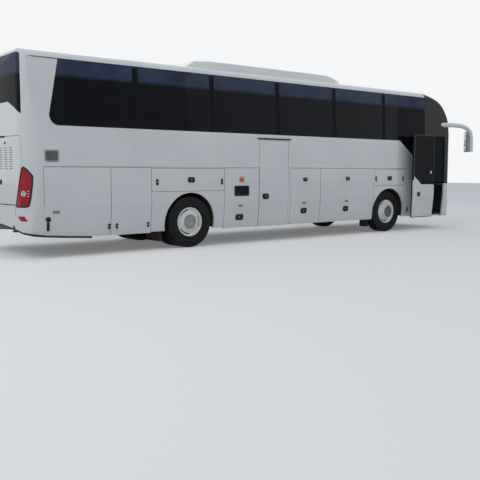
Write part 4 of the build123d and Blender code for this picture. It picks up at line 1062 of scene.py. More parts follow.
# heights along and across the pod, and how much of its width is left towards the ends
podAlong = [(-2.6, 3.62), (-2.38, 3.78), (-1.9, 3.83), (0.9, 3.83), (1.45, 3.79), (1.8, 3.7), (1.89, 3.62)]
podAcross = [(0.0, 3.83), (0.72, 3.83), (0.88, 3.78), (0.95, 3.66), (0.965, 3.57), (3.0, 3.57)]
podPlan = [(-2.6, 0.6), (-2.52, 0.74), (-2.38, 0.86), (-2.15, 0.95), (-1.85, 1.0), (1.3, 1.0), (1.6, 0.96),
           (1.8, 0.86), (1.89, 0.74)]


def profileAt(points, at):
    # height of a profile of (place, height) points
    for (a0, z0), (a1, z1) in zip(points, points[1:]):
        if a0 <= at <= a1:
            return z0 + (z1 - z0) * (at - a0) / (a1 - a0)
    return points[-1][1]


def podHeight(x, y):
    # the lower of both profiles, blended where they meet
    heights = (profileAt(podAlong, x), profileAt(podAcross, abs(y) / profileAt(podPlan, x)))
    low = min(heights)
    low -= pod["drop"] + pod["gain"] * pod["blend"] * log(sum(exp((low - h) / pod["blend"]) for h in heights))
    return max(low, pod["foot"] + pod["lip"])


def spacedCuts(start, end, stops, count):
    # places between two ends, even but with the stops among them
    marks = [start + (end - start) * k / count for k in range(count + 1)]
    return sorted(set(round(m, 4) for m in marks) | set(stops))


shape = bmesh.new()
xs = spacedCuts(*pod["ends"], [p[0] for p in podAlong[1:-1]], pod["cutsX"])
stops = [side * p[0] for p in podAcross[1:-1] for side in (-1, 1)]
ys = spacedCuts(-pod["half"], pod["half"], stops, pod["cutsY"])
grid = [[shape.verts.new((x, y, podHeight(x, y))) for y in ys] for x in xs]
for one, two in zip(grid, grid[1:]):
    for j in range(len(ys) - 1):
        shape.faces.new((one[j], two[j], two[j + 1], one[j + 1]))
rim = grid[0] + [row[-1] for row in grid[1:]] + grid[-1][-2::-1] + [row[0] for row in grid[-2:0:-1]]
feet = [shape.verts.new((v.co.x, v.co.y, pod["foot"])) for v in rim]
for k in range(len(rim)):
    n = (k + 1) % len(rim)
    shape.faces.new((rim[k], rim[n], feet[n], feet[k]))
shape.faces.new(feet)
podShell = finishPiece("roofPod", shape, "coachPaint", "coach_body")
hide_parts("roof_ac_unit")

# fans in two rows: guard rings as shares of the radius with their thickness, spokes, wells and blades
fan = {"radius": 0.235, "x": (-1.35, -0.75, -0.15, 0.45), "y": 0.36, "hubR": 0.06, "wire": 0.0025,
       "guards": [(1.0, 0.006), (0.78, 0.0025), (0.57, 0.0025), (0.36, 0.0025)], "spokes": 4, "blades": 7}
bladeOutline = [(0.05, -0.012), (fan["radius"] * 0.93, -0.035), (fan["radius"] * 0.95, 0.03), (0.05, 0.02)]
rings = bmesh.new()
wells = bmesh.new()
blades = bmesh.new()
for x in fan["x"]:
    for y in (-fan["y"], fan["y"]):
        z = pod["top"]
        for share, thick in fan["guards"]:
            addRing(rings, Matrix.Translation((x, y, z)), fan["radius"] * share, thick, 32, 0.0065)
        for k in range(fan["spokes"]):
            a, b = fan["radius"] * cos(pi * k / fan["spokes"]), fan["radius"] * sin(pi * k / fan["spokes"])
            addTube(rings, [(x - a, y - b, z + 0.008), (x + a, y + b, z + 0.008)], fan["wire"], 6)
        addDisc(wells, (x, y, z - 0.002), fan["radius"], 0.005, "Z", 40)
        addDisc(blades, (x, y, z + 0.0025), fan["hubR"], 0.005, "Z", 24)
        for k in range(fan["blades"]):
            turn = tau * k / fan["blades"]
            addPrism(blades, [(x + a * cos(turn) - b * sin(turn), y + a * sin(turn) + b * cos(turn))
                              for a, b in bladeOutline], ("Z", z + 0.001), 0.0025)
finishPiece("fanGuards", rings, "anodisedTrim", "coach_body")
finishPiece("fanWells", wells, "blackNylon", "coach_body")
finishPiece("fanBlades", blades, "grainedPlastic", "coach_body")

# roof hatches: a slatted vent in a rim, and two hinges each
hatch = {"x": (-4.4, 3.3), "z": 3.666, "rim": (0.5, 0.38, 0.05, 5), "hole": (0.46, 0.34, 0.035, 5),
         "slats": 7, "slatX": 0.22, "slatY": (-0.145, -0.125), "pitch": 0.045, "slatZ": (3.664, 3.674),
         "hingeX": 0.33, "hinge": (0.02, 0.06), "hingeZ": (3.66, 3.676)}
shape = bmesh.new()
lids = bmesh.new()
z0, z1 = hatch["slatZ"]
for x in hatch["x"]:
    def roofPlace(a, b, depth, x=x):
        return (x + a, b, hatch["z"] + depth)
    addSheet(shape, roofPlace, roundedBox(0, 0, *hatch["rim"]), -0.004, 0.012,
             roundedBox(0, 0, *hatch["hole"]))
    for k in range(hatch["slats"]):
        y0, y1 = (y + hatch["pitch"] * k for y in hatch["slatY"])
        addBlock(shape, (x - hatch["slatX"], y0, z0), (x + hatch["slatX"], y1, z1))
    for at in (x - hatch["hingeX"], x + hatch["hingeX"]):
        (a, b), (low, high) = hatch["hinge"], hatch["hingeZ"]
        addBlock(lids, (at - a, -b, low), (at + a, b, high))
finishPiece("hatchVents", shape, "blackNylon", "coach_body", bevel=0.0015)
finishPiece("hatchHinges", lids, "anodisedTrim", "coach_body", bevel=0.002)


# front: lamps, windscreen border, mesh behind the air slots, blank plate with seams, wipers
print("dressing the front")
headOutline = [(0.7, 0.77), (1.09, 0.64), (1.19, 0.7), (1.2, 0.93), (1.12, 1.01), (0.77, 0.88)]
amberOutline = [(0.8, 0.884), (1.1, 0.975), (1.095, 0.955), (0.81, 0.868)]
# y, z and radius of the three bowls of a headlamp, and the fog lamp beside the air slots
bowls = [(0.84, 0.815, 0.055), (0.965, 0.8, 0.06), (1.09, 0.795, 0.055)]
fogLamp = {"at": (0.86, 0.545), "radius": 0.055, "glassR": 0.046}
lensShape = bmesh.new()
bowl = bmesh.new()
black = bmesh.new()
amber = bmesh.new()
for side in (-1, 1):
    place = nosePlace(side)
    addSheet(lensShape, place, refine(shrink(headOutline, 0.003), 0.05), -0.006, -0.002)
    addSheet(black, place, refine(headOutline, 0.05), -0.038, -0.003)
    addSheet(bowl, place, refine(shrink(headOutline, 0.004), 0.05), -0.075, -0.07)
    for a, b, radius in bowls:
        x, y, z = place(a, b, -0.06)
        addDisc(black, (x, y, z), radius + 0.006, 0.018, "X", 32)
        addDisc(bowl, (x + 0.012, y, z), radius, 0.012, "X", 32, radius * 0.8)
        addDisc(lensShape, (x + 0.026, y, z), radius * 0.72, 0.018, "X", 24, radius * 0.4)
    addSheet(amber, place, amberOutline, -0.066, -0.05)
    small = circle(*fogLamp["at"], fogLamp["glassR"])
    addSheet(black, place, circle(*fogLamp["at"], fogLamp["radius"]), -0.01, 0.006, small)
    addSheet(bowl, place, small, -0.008, 0.0)
    addSheet(lensShape, place, small, 0.001, 0.004)
lensPiece = finishPiece("headlampLenses", lensShape, "clearLens", "coach_body")
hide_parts("headlamps")
finishPiece("headlampBowls", bowl, "lampSilver", "coach_body")
finishPiece("headlampHousings", black, "blackNylon", "coach_body")
finishPiece("frontIndicators", amber, "amberLens", "coach_body")

# the screen leans back above its bend: height and x of the bend, slope and curve above it
screen = {"bendZ": 2.83, "bendX": 5.64, "slope": 0.52, "curve": 0.55, "border": (-0.004, 0.0015)}
# corner to corner, and cuts along each strip of the border
borderStrips = [((-1.13, 1.2, -1.1, 3.06), 12), ((1.1, 1.2, 1.13, 3.06), 12), ((-1.1, 1.2, 1.1, 1.24), 16),
                ((-1.1, 2.77, 1.1, 2.8), 16)]


def screenPoint(y, z, depth):
    # a place on the windscreen, also on its curve above
    x, y, z = nosePoint(y, z, depth)
    over = z - screen["bendZ"]
    if over > 0:
        x = min(x, screen["bendX"] - screen["slope"] * over - screen["curve"] * over ** 2 + depth)
    return (x, y, z)


shape = bmesh.new()
for corners, cuts in borderStrips:
    addPatch(shape, screenPoint, oblong(*corners), cuts, *screen["border"])
finishPiece("screenBorder", shape, "sealRubber", "coach_body")
shape = bmesh.new()
addLattice(shape, nosePoint, (-0.59, 0.59), (0.45, 0.64), 0.014, 0.003, -0.05, -0.046)
finishPiece("airSlotMesh", shape, "blackNylon", "coach_body")

# the blank plate in its frame, and the seams of the nose, corner to corner
plate = {"at": (0, 0.735), "frame": (0.56, 0.15, 0.015), "hole": (0.53, 0.12, 0.008),
         "size": (0.52, 0.112, 0.01)}
noseSeams = [(-1.05, 1.092, 1.05, 1.098), (-0.623, 0.68, -0.617, 1.092), (0.617, 0.68, 0.623, 1.092)]
shape = bmesh.new()
addSheet(shape, nosePoint, roundedBox(*plate["at"], *plate["frame"]), -0.002, 0.008,
         roundedBox(*plate["at"], *plate["hole"]))
for corners in noseSeams:
    addSheet(shape, nosePoint, oblong(*corners), -0.002, 0.0012)
finishPiece("noseTrim", shape, "blackNylon", "coach_body")
shape = bmesh.new()
addSheet(shape, nosePoint, roundedBox(*plate["at"], *plate["size"]), -0.002, 0.004)
finishPiece("blankPlate", shape, "greyPowder", "coach_body")

# wipers: pivot, arm's tip and the blade's ends as places on the screen
wiperTable = [((-0.12, 1.16), (0.5, 1.36), (0.06, 1.31), (0.98, 1.4)),
              ((-1.0, 1.16), (-0.42, 1.36), (-0.86, 1.31), (0.02, 1.4))]
wiper = {"pivotR": 0.026, "arm": [0.013, 0.011, 0.007], "elbow": 0.3, "bladeR": 0.006, "rubberR": 0.008}
shape = bmesh.new()
for pivot, tip, low, high in wiperTable:
    elbow = Vector(pivot).lerp(Vector(tip), wiper["elbow"])
    addTube(shape, [nosePoint(*pivot, 0.0), nosePoint(*pivot, 0.045)], wiper["pivotR"], 16)
    arm = [nosePoint(*pivot, 0.04), nosePoint(*elbow, 0.05), nosePoint(*tip, 0.034)]
    addTube(shape, arm, wiper["arm"], 8)
    steps = [Vector(low).lerp(Vector(high), k / 10) for k in range(11)]
    addTube(shape, [nosePoint(*step, 0.026) for step in steps], wiper["bladeR"], 8)
    addTube(shape, [nosePoint(*step, 0.012) for step in steps], wiper["rubberR"], 6)
finishPiece("wipers", shape, "blackNylon", "coach_body")


# seats: each pad is a closed grid, blown up by cloth pressure between its seams, then copied to every place
print("upholstering the seats")
pads = {"pressure": 4.0, "frames": 20, "cap": 0.016, "quickCrown": 0.008, "seamDepth": 0.006, "cells": 12,
        "seamHalf": 0.009, "seamGap": 0.014, "corner": 0.05}


def makePad(name, wide, deep, thick, seamsA, seamsB):
    # a rounded pad lying flat and centred on the origin, seams are lines across its upper face
    lines = []
    for size, seams in ((wide, seamsA), (deep, seamsB)):
        marks = [-size / 2 + size * k / pads["cells"] for k in range(pads["cells"] + 1)]
        marks = [m for m in marks if all(abs(m - at) > pads["seamGap"] for at in seams)]
        for at in seams:
            marks += [at - pads["seamHalf"], at, at + pads["seamHalf"]]
        lines.append(sorted(marks))
    shape = bmesh.new()

    def rounded(a, b):
        # draws in the outline's corners
        over = Vector([max(0.0, abs(at) - size / 2 + pads["corner"]) for at, size in ((a, wide), (b, deep))])
        if over.length > 0:
            pull = 1 - max(over) / over.length
            a -= pull * over.x * (1 if a > 0 else -1)
            b -= pull * over.y * (1 if b > 0 else -1)
        return a, b

    held = []
    layers = {}
    for level in (0, 1):
        for i, a in enumerate(lines[0]):
            for j, b in enumerate(lines[1]):
                seamed = level and (any(abs(a - at) < 1e-6 for at in seamsA)
                                    or any(abs(b - at) < 1e-6 for at in seamsB))
                height = (thick if level else -thick) / 2 - (pads["seamDepth"] if seamed else 0.0)
                vert = shape.verts.new((*rounded(a, b), height))
                layers[level, i, j] = vert
                edge = i in (0, len(lines[0]) - 1) or j in (0, len(lines[1]) - 1)
                if seamed or edge or not level:
                    held.append(vert)
    countA, countB = len(lines[0]), len(lines[1])
    for i in range(countA - 1):
        for j in range(countB - 1):
            for level in (0, 1):
                shape.faces.new((layers[level, i, j], layers[level, i + 1, j], layers[level, i + 1, j + 1],
                                 layers[level, i, j + 1]))
    around = [(i, 0) for i in range(countA - 1)] + [(countA - 1, j) for j in range(countB - 1)]
    around += [(i, countB - 1) for i in range(countA - 1, 0, -1)] + [(0, j) for j in range(countB - 1, 0, -1)]
    middles = []
    for i, j in around:
        middle = (layers[0, i, j].co + layers[1, i, j].co) / 2 * 1.004
        middles.append(shape.verts.new((middle.x, middle.y, 0)))
    for k, (i, j) in enumerate(around):
        m, n = around[(k + 1) % len(around)]
        nextMiddle = middles[(k + 1) % len(around)]
        shape.faces.new((layers[0, i, j], layers[0, m, n], nextMiddle, middles[k]))
        shape.faces.new((middles[k], nextMiddle, layers[1, m, n], layers[1, i, j]))
    bmesh.ops.recalc_face_normals(shape, faces=shape.faces)
    shape.verts.index_update()
    heldPlaces = [v.index for v in held]
    mesh = bpy.data.meshes.new(name)
    shape.to_mesh(mesh)
    shape.free()
    start = [v.co.copy() for v in mesh.vertices]
    pad = bpy.data.objects.new(name, mesh)
    bpy.context.scene.collection.objects.link(pad)
    group = pad.vertex_groups.new(name="sewn")
    group.add(heldPlaces, 1.0, "REPLACE")
    cloth = pad.modifiers.new("pressure", "CLOTH")
    cloth.settings.use_pressure = True
    cloth.settings.uniform_pressure_force = pads["pressure"]
    cloth.settings.vertex_group_mass = "sewn"
    cloth.settings.effector_weights.gravity = 0
    for frameNumber in range(1, pads["frames"] + 1):
        bpy.context.scene.frame_set(frameNumber)
    blown = pad.evaluated_get(bpy.context.evaluated_depsgraph_get()).to_mesh()
    moved = []
    for one, vert in zip(start, blown.vertices):
        shift = vert.co - one
        moved.append(one + shift * min(1.0, pads["cap"] / max(shift.length, 1e-9)))
    pad.to_mesh_clear()
    bpy.data.objects.remove(pad)
    bpy.context.scene.frame_set(1)
    for vert, place in zip(mesh.vertices, moved):
        vert.co = place
    return mesh


def moveNew(shape, before, place):
    # moves the vertices that came after the first ones
    shape.verts.ensure_lookup_table()
    bmesh.ops.transform(shape, matrix=place, verts=shape.verts[before:])


def placePads(name, mesh, places, node=None):
    # copies of a pad at the given places, joined into one piece
    shape = bmesh.new()
    for place in places:
        before = len(shape.verts)
        shape.from_mesh(mesh)
        moveNew(shape, before, place)
    piece = finishPiece(name, shape, "seatCloth", "coach_body")
    piece.data.set_sharp_from_angle(angle=radians(80))
    if node:
        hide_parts(node)


# places are offsets from a seat's x and its floor: cushion, back and shell
passengerSeat = {"cushion": (0.255, 0.436), "back": (-0.022, 0.8), "shell": (-0.06, 0.785),
                 "rise": radians(-5.6), "lean": radians(-16.2), "outline": (0.43, 0.7, 0.07, 4),
                 "thick": 0.012}
driverSeat = {"cushion": (0.25, 0.44), "back": (-0.012, 0.83), "shell": (-0.055, 0.82),
              "rise": radians(-3), "lean": radians(-12.5), "outline": (0.49, 0.72, 0.08, 5), "thick": 0.016}


def seatPlaces(seat, x, y, floor):
    # where one seat's cushion and back go
    turn = Matrix.Rotation(pi / 2, 4, "Z")
    (cushionX, cushionZ), (backX, backZ) = seat["cushion"], seat["back"]
    return (Matrix.Translation((x + cushionX, y, floor + cushionZ)) @ Matrix.Rotation(seat["rise"], 4, "Y")
            @ turn.inverted(),
            Matrix.Translation((x + backX, y, floor + backZ)) @ Matrix.Rotation(seat["lean"], 4, "Y")
            @ Matrix.Rotation(pi / 2, 4, "Y") @ turn)


def addShell(shape, seat, x, y, floor):
    # the moulded shell behind one back
    before = len(shape.verts)
    addPrism(shape, roundedBox(y, 0.0, *seat["outline"]), ("X", -seat["thick"] / 2), seat["thick"])
    moveNew(shape, before, Matrix.Translation((x + seat["shell"][0], 0, floor + seat["shell"][1]))
            @ Matrix.Rotation(seat["lean"], 4, "Y"))


# side and x of every pair, with a gap for the middle stairs on the right
saloon = {"deck": 1.42, "firstX": -5.18, "pitch": 0.79, "rows": 12, "gap": (-1.56, -0.17),
          "middles": (0.527, 0.973)}
seatRows = []
for side in (-1, 1):
    for row in range(saloon["rows"]):
        x = saloon["firstX"] + saloon["pitch"] * row
        if side == 1 or not saloon["gap"][0] < x < saloon["gap"][1]:
            seatRows.append((side, x))
cushionMesh = makePad("cushionMesh", 0.42, 0.43, 0.07, (-0.14, 0.14), (0.1,))
backMesh = makePad("backMesh", 0.42, 0.66, 0.05, (-0.14, 0.14), (-0.1, 0.17))
places = [seatPlaces(passengerSeat, x, side * y, saloon["deck"])
          for side, x in seatRows for y in saloon["middles"]]
cushionPlaces, backPlaces = zip(*places)
placePads("seatCushions", cushionMesh, cushionPlaces, "passenger_seats")
placePads("seatBacks", backMesh, backPlaces)

# shells, armrests, grips and frames of the pairs: x and height from the seat's place, and distance in Y
pair = {"panY": (0.32, 0.86), "pan": [(0.02, 0.365), (0.46, 0.402), (0.46, 0.416), (0.02, 0.385)],
        "arm": [(0.02, 0.6), (0.12, 0.625), (0.32, 0.62)], "armY": 0.308,
        "grip": [(-0.17, 0.34, 1.05), (-0.2, 0.34, 1.13), (-0.2, 0.42, 1.14), (-0.185, 0.46, 1.1)],
        "legX": (0.1, 0.34), "legY": (0.5, 0.78), "legTop": 0.375, "footX": (0.06, 0.38),
        "footY": (0.47, 0.81)}
shells = bmesh.new()
steel = bmesh.new()
deck = saloon["deck"]
for side, x in seatRows:
    for y in saloon["middles"]:
        addShell(shells, passengerSeat, x, side * y, deck)
    y0, y1 = pair["panY"]
    addPrism(shells, [(x + a, deck + b) for a, b in pair["pan"]], ("Y", side * y0), side * y1)
    path = roundPath([(x + a, side * pair["armY"], deck + b) for a, b in pair["arm"]], 0.05, 3)
    addTube(shells, path, 0.016, 8, 0.7)
    addTube(steel, roundPath([(x + a, side * y, deck + b) for a, y, b in pair["grip"]], 0.02, 2), 0.008, 6)
    for a in pair["legX"]:
        top = x + 0.22 + (a - 0.22) * 0.8
        for y in pair["legY"]:
            addTube(steel, [(x + a, side * y, deck), (top, side * y, deck + pair["legTop"])], 0.016, 8)
    addBlock(steel, (x + pair["footX"][0], side * pair["footY"][0], deck),
             (x + pair["footX"][1], side * pair["footY"][1], deck + 0.012))
finishPiece("seatShells", shells, "grainedPlastic", "coach_body")
finishPiece("seatFrames", steel, "stainlessSteel", "coach_body")

# driver's seat on a bellows and a box
cab = {"x": 4.38, "y": 0.64, "floor": 0.95, "pan": [(0.02, 0.37), (0.46, 0.392), (0.46, 0.41), (0.02, 0.392)],
       "panHalf": 0.24, "folds": 6, "foldZ": 0.1, "foldPitch": 0.043, "foldTall": 0.04,
       "foldWide": (0.3, 0.32), "boxX": (0.06, 0.38), "boxHalf": 0.17}
x, y, floor = cab["x"], cab["y"], cab["floor"]
driverCushion = makePad("driverCushion", 0.48, 0.43, 0.08, (-0.15, 0.15), (0.1,))
driverBack = makePad("driverBack", 0.48, 0.68, 0.06, (-0.15, 0.15), (-0.12, 0.18))
cushion, back = seatPlaces(driverSeat, x, y, floor)
placePads("driverSeatCushion", driverCushion, [cushion], "driver_seat")
placePads("driverSeatBack", driverBack, [back])
shape = bmesh.new()
addShell(shape, driverSeat, x, y, floor)
addPrism(shape, [(x + a, floor + b) for a, b in cab["pan"]], ("Y", y - cab["panHalf"]), 2 * cab["panHalf"])
for k in range(cab["folds"]):
    wide = cab["foldWide"][k % 2]
    addPrism(shape, roundedBox(x + 0.22, y, wide, wide, 0.05, 4),
             ("Z", floor + cab["foldZ"] + cab["foldPitch"] * k), cab["foldTall"])
addBlock(shape, (x + cab["boxX"][0], y - cab["boxHalf"], floor),
         (x + cab["boxX"][1], y + cab["boxHalf"], floor + cab["foldZ"]))
finishPiece("driverSeatFrame", shape, "grainedPlastic", "coach_body", bevel=0.003)


# steering wheel on its column with two levers
print("fitting out the cab and the saloon")
steering = {"hub": (4.96, 0.64, 1.79), "tilt": radians(-30), "radius": 0.212, "rim": 0.014,
            "spokes": (0.35, pi - 0.35, pi * 1.5)}
shape = bmesh.new()
tilt = Matrix.Translation(steering["hub"]) @ Matrix.Rotation(steering["tilt"], 4, "Y")
addRing(shape, tilt, steering["radius"], steering["rim"], 40, sides=10)
for turn in steering["spokes"]:
    addTube(shape, [tilt @ Vector((0.05 * sin(turn), 0.05 * cos(turn), -0.012)),
                    tilt @ Vector((0.2 * sin(turn), 0.2 * cos(turn), 0))], [0.016, 0.01], 8, 0.6)
addTube(shape, [tilt @ Vector((0, 0, -0.03)), tilt @ Vector((0, 0, 0.004))], [0.05, 0.062], 24)
addTube(shape, [tilt @ Vector((0, 0, -0.02)), tilt @ Vector((0, 0, -0.3))], [0.026, 0.032], 16)
for side in (-1, 1):
    lever = [Vector((0, side * 0.03, -0.06)), Vector((0.02, side * 0.17, -0.04))]
    addTube(shape, [tilt @ end for end in lever], 0.006, 8)
wheelPiece = finishPiece("steeringWheelRim", shape, "grainedPlastic", "coach_body")
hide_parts("steering_wheel")

# instruments in their hood, and two rows of switches on the dashboard
cluster = {"hood": [(5.14, 1.56), (5.2, 1.7), (5.4, 1.68), (5.42, 1.62)], "hoodY": 0.36, "hoodWide": 0.56,
           "dials": [(0.48, 0.045), (0.58, 0.055), (0.7, 0.055), (0.8, 0.045)], "at": (5.165, 1.632),
           "tilt": radians(-67), "bezel": 0.003,
           "switches": 9, "switchX": (5.16, 5.175), "switchY": (-0.05, -0.018), "switchZ": (1.43, 1.485),
           "pitch": 0.04, "rowX": 0.012, "rowZ": 0.075}
shape = bmesh.new()
dials = bmesh.new()
addPrism(shape, cluster["hood"], ("Y", cluster["hoodY"]), cluster["hoodWide"])
for y, r in cluster["dials"]:
    x, z = cluster["at"]
    aim = Matrix.Translation((x, y, z)) @ Matrix.Rotation(cluster["tilt"], 4, "Y")
    addTube(dials, [aim @ Vector((0, 0, -0.004)), aim @ Vector((0, 0, 0.004))], r, 28)
    addRing(shape, aim, r + 0.002, cluster["bezel"], 28, cluster["bezel"])
for row in range(2):
    (x0, x1), (z0, z1) = cluster["switchX"], cluster["switchZ"]
    shiftX, shiftZ = cluster["rowX"] * row, cluster["rowZ"] * row
    for k in range(cluster["switches"]):
        y0, y1 = (y + cluster["pitch"] * k for y in cluster["switchY"])
        addBlock(shape, (x0 + shiftX, y0, z0 + shiftZ), (x1 + shiftX, y1, z1 + shiftZ))
finishPiece("instrumentCluster", shape, "blackNylon", "coach_body", bevel=0.002)
finishPiece("instrumentDials", dials, "mirrorSilver", "coach_body")

# ceiling liner and side linings, aisle carpet, rack edges with service units over the seats
inside = {"ceiling": [(-1.08, 3.44), (-0.98, 3.49), (-0.5, 3.52), (0.5, 3.52), (0.98, 3.49), (1.08, 3.44)],
          "ceilingX": -5.95, "ceilingLong": 10.4, "thick": 0.006, "liningY": (1.222, 1.228),
          "liningZ": (1.43, 2.34), "carpet": ((-5.75, -0.27, 1.42), (3.98, 0.27, 1.427)),
          "rack": [(0.756, 3.095), (0.774, 3.07), (0.79, 3.074), (0.812, 3.2), (0.78, 3.206)], "rackX": -5.498,
          "rackLong": 9.496, "unitX": -5.0, "unitHalf": 0.13, "unitY": (0.8, 1.08), "unitZ": 3.022,
          "lampX": 0.05, "lampY": 0.94, "lampZ": 3.018}
# side, first x, last x of the side linings
liningRuns = [(-1, -5.85, -1.1), (-1, -0.23, 4.0), (1, -5.85, 4.1)]
shape = bmesh.new()
for (a0, z0), (a1, z1) in zip(inside["ceiling"], inside["ceiling"][1:]):
    addPrism(shape, [(a0, z0), (a1, z1), (a1, z1 + inside["thick"]), (a0, z0 + inside["thick"])],
             ("X", inside["ceilingX"]), inside["ceilingLong"])
(y0, y1), (z0, z1) = inside["liningY"], inside["liningZ"]
for side, x0, x1 in liningRuns:
    addBlock(shape, (x0, side * y0, z0), (x1, side * y1, z1))
finishPiece("saloonLining", shape, "liningPanel", "coach_body", smooth=False)
shape = bmesh.new()
addBlock(shape, *inside["carpet"])
finishPiece("aisleRunner", shape, "aisleCarpet", "coach_body", bevel=0.002)
shape = bmesh.new()
units = bmesh.new()
for side in (-1, 1):
    addPrism(shape, [(side * y, z) for y, z in inside["rack"]], ("X", inside["rackX"]), inside["rackLong"])
    y0, y1 = sorted(side * y for y in inside["unitY"])
    for row in range(saloon["rows"]):
        x = inside["unitX"] + saloon["pitch"] * row
        addPrism(units, oblong(x - inside["unitHalf"], y0, x + inside["unitHalf"], y1),
                 ("Z", inside["unitZ"]), 0.03)
        for lampX in (x - inside["lampX"], x + inside["lampX"]):
            addDisc(units, (lampX, side * inside["lampY"], inside["lampZ"]), 0.022, 0.014, "Z", 16, 0.018)
finishPiece("rackEdges", shape, "anodisedTrim", "coach_body", bevel=0.002)
finishPiece("serviceUnits", units, "grainedPlastic", "coach_body", bevel=0.003)

# stanchions and rails by the stairs: paths of bent tube
railPaths = [
    [(4.56, -0.62, 0.96), (4.56, -0.62, 1.7), (4.56, -0.38, 1.7), (4.56, -0.38, 0.96)],
    [(5.42, -1.1, 1.05), (5.42, -0.98, 1.5), (5.42, -0.7, 1.75)],
    [(-1.14, -0.4, 1.43), (-1.14, -0.4, 2.2), (-1.14, -1.1, 2.2)],
    [(-0.19, -0.4, 1.43), (-0.19, -0.4, 2.2), (-0.19, -1.1, 2.2)],
    [(-0.3, -1.0, 0.95), (-0.3, -0.5, 1.75)],
]
shape = bmesh.new()
for path in railPaths:
    addTube(shape, roundPath(path, 0.06, 4), 0.016, 12)
finishPiece("stairRails", shape, "blackNylon", "coach_body")

# black lining behind the nose
shape = bmesh.new()
addPatch(shape, nosePoint, oblong(-1.14, 0.4, 1.14, 1.16), 10, -0.096, -0.09)
finishPiece("noseLining", shape, "grainedPlastic", "coach_body")


# underneath: gearbox, prop shaft, track arms and dampers, exhaust, air tanks, cross ribs
print("hanging the running gear")
bands = {"half": 0.015, "tankProud": 0.004, "silencerProud": 0.006}


def addBand(shape, x, y, z, radius, half, steps):
    # a strap round a bar that lies along X
    addTube(shape, [(x - half, y, z), (x + half, y, z)], radius, steps)


shape = bmesh.new()
addTube(shape, [(-4.9, 0, 0.75), (-4.62, 0, 0.74), (-4.56, 0, 0.72), (-4.3, 0, 0.66), (-4.24, 0, 0.64)],
        [0.26, 0.25, 0.2, 0.17, 0.09], 24)
for k in range(3):
    addBand(shape, -4.805 + 0.1 * k, 0, 0.745, 0.268, bands["half"], 24)
finishPiece("gearbox", shape, "engineMetal", "coach_body")
shape = bmesh.new()
addTube(shape, [(-4.24, 0, 0.64), (-4.18, 0, 0.632), (-4.12, 0, 0.625), (-3.34, 0, 0.53), (-3.28, 0, 0.522),
                (-3.22, 0, 0.515)], [0.06, 0.035, 0.05, 0.05, 0.035, 0.07], 16)
for x in (wheels["frontX"], wheels["rearX"]):
    for side in (-1, 1):
        addTube(shape, [(x + 0.15, side * 0.36, 0.47), (x + 0.95, side * 0.42, 0.56)], 0.024, 10)
        addTube(shape, [(x + 0.13, side * 0.36, 0.5), (x + 0.17, side * 0.36, 0.86)], [0.034, 0.028], 12)
finishPiece("propShaft", shape, "chassisPaint", "coach_body")

# silencer with two straps, the pipe from the engine and the tail pipe
silencer = {"x": (-5.62, -4.96), "y": -0.98, "z": 0.74, "radius": 0.15, "endR": 0.13, "chamfer": 0.02,
            "straps": (-5.45, -5.15),
            "inlet": [(-5.0, -0.55, 0.8), (-4.85, -0.75, 0.78), (-4.85, -0.98, 0.74), (-4.97, -0.98, 0.74)],
            "outlet": [(-5.6, -0.98, 0.74), (-5.78, -0.98, 0.68), (-5.86, -0.9, 0.5), (-5.9, -0.88, 0.47)]}


def addTank(shape, x0, x1, y, z, radius, endR, chamfer, steps):
    # a drum along X with drawn-in ends
    addTube(shape, [(x, y, z) for x in (x0, x0 + chamfer, x1 - chamfer, x1)], [endR, radius, radius, endR],
            steps)


shape = bmesh.new()
y, z, radius = silencer["y"], silencer["z"], silencer["radius"]
addTank(shape, *silencer["x"], y, z, radius, silencer["endR"], silencer["chamfer"], 28)
for x in silencer["straps"]:
    addBand(shape, x, y, z, radius + bands["silencerProud"], bands["half"], 28)
addTube(shape, roundPath(silencer["inlet"], 0.1), 0.045, 14)
addTube(shape, roundPath(silencer["outlet"], 0.1), 0.05, 14)
finishPiece("exhaust", shape, "coatedSteel", "coach_body")
# x, y, z and length of the air tanks, and where their straps sit as shares of the length
tankTable = [(-4.5, 0.66, 0.62, 0.8), (-4.5, 0.98, 0.62, 0.8), (4.0, 0.62, 0.72, 0.5), (4.0, -0.1, 0.72, 0.5)]
tank = {"radius": 0.125, "endR": 0.07, "chamfer": 0.05, "straps": (0.2, 0.75)}
shape = bmesh.new()
for x, y, z, length in tankTable:
    addTank(shape, x, x + length, y, z, tank["radius"], tank["endR"], tank["chamfer"], 24)
    for share in tank["straps"]:
        addBand(shape, x + share * length, y, z, tank["radius"] + bands["tankProud"], bands["half"], 24)
finishPiece("airTanks", shape, "chassisPaint", "coach_body")

ribs = {"x": [-2.0, -1.48, 0.08, 0.6, 1.12, 1.64, 2.16, 4.0, 4.4], "half": 0.02, "z": (0.372, 0.399),
        "y": 1.13}
shape = bmesh.new()
for x in ribs["x"]:
    addPrism(shape, oblong(x - ribs["half"], ribs["z"][0], x + ribs["half"], ribs["z"][1]), ("Y", -ribs["y"]),
             2 * ribs["y"])
finishPiece("bayRibs", shape, "chassisPaint", "coach_body", bevel=0.003)


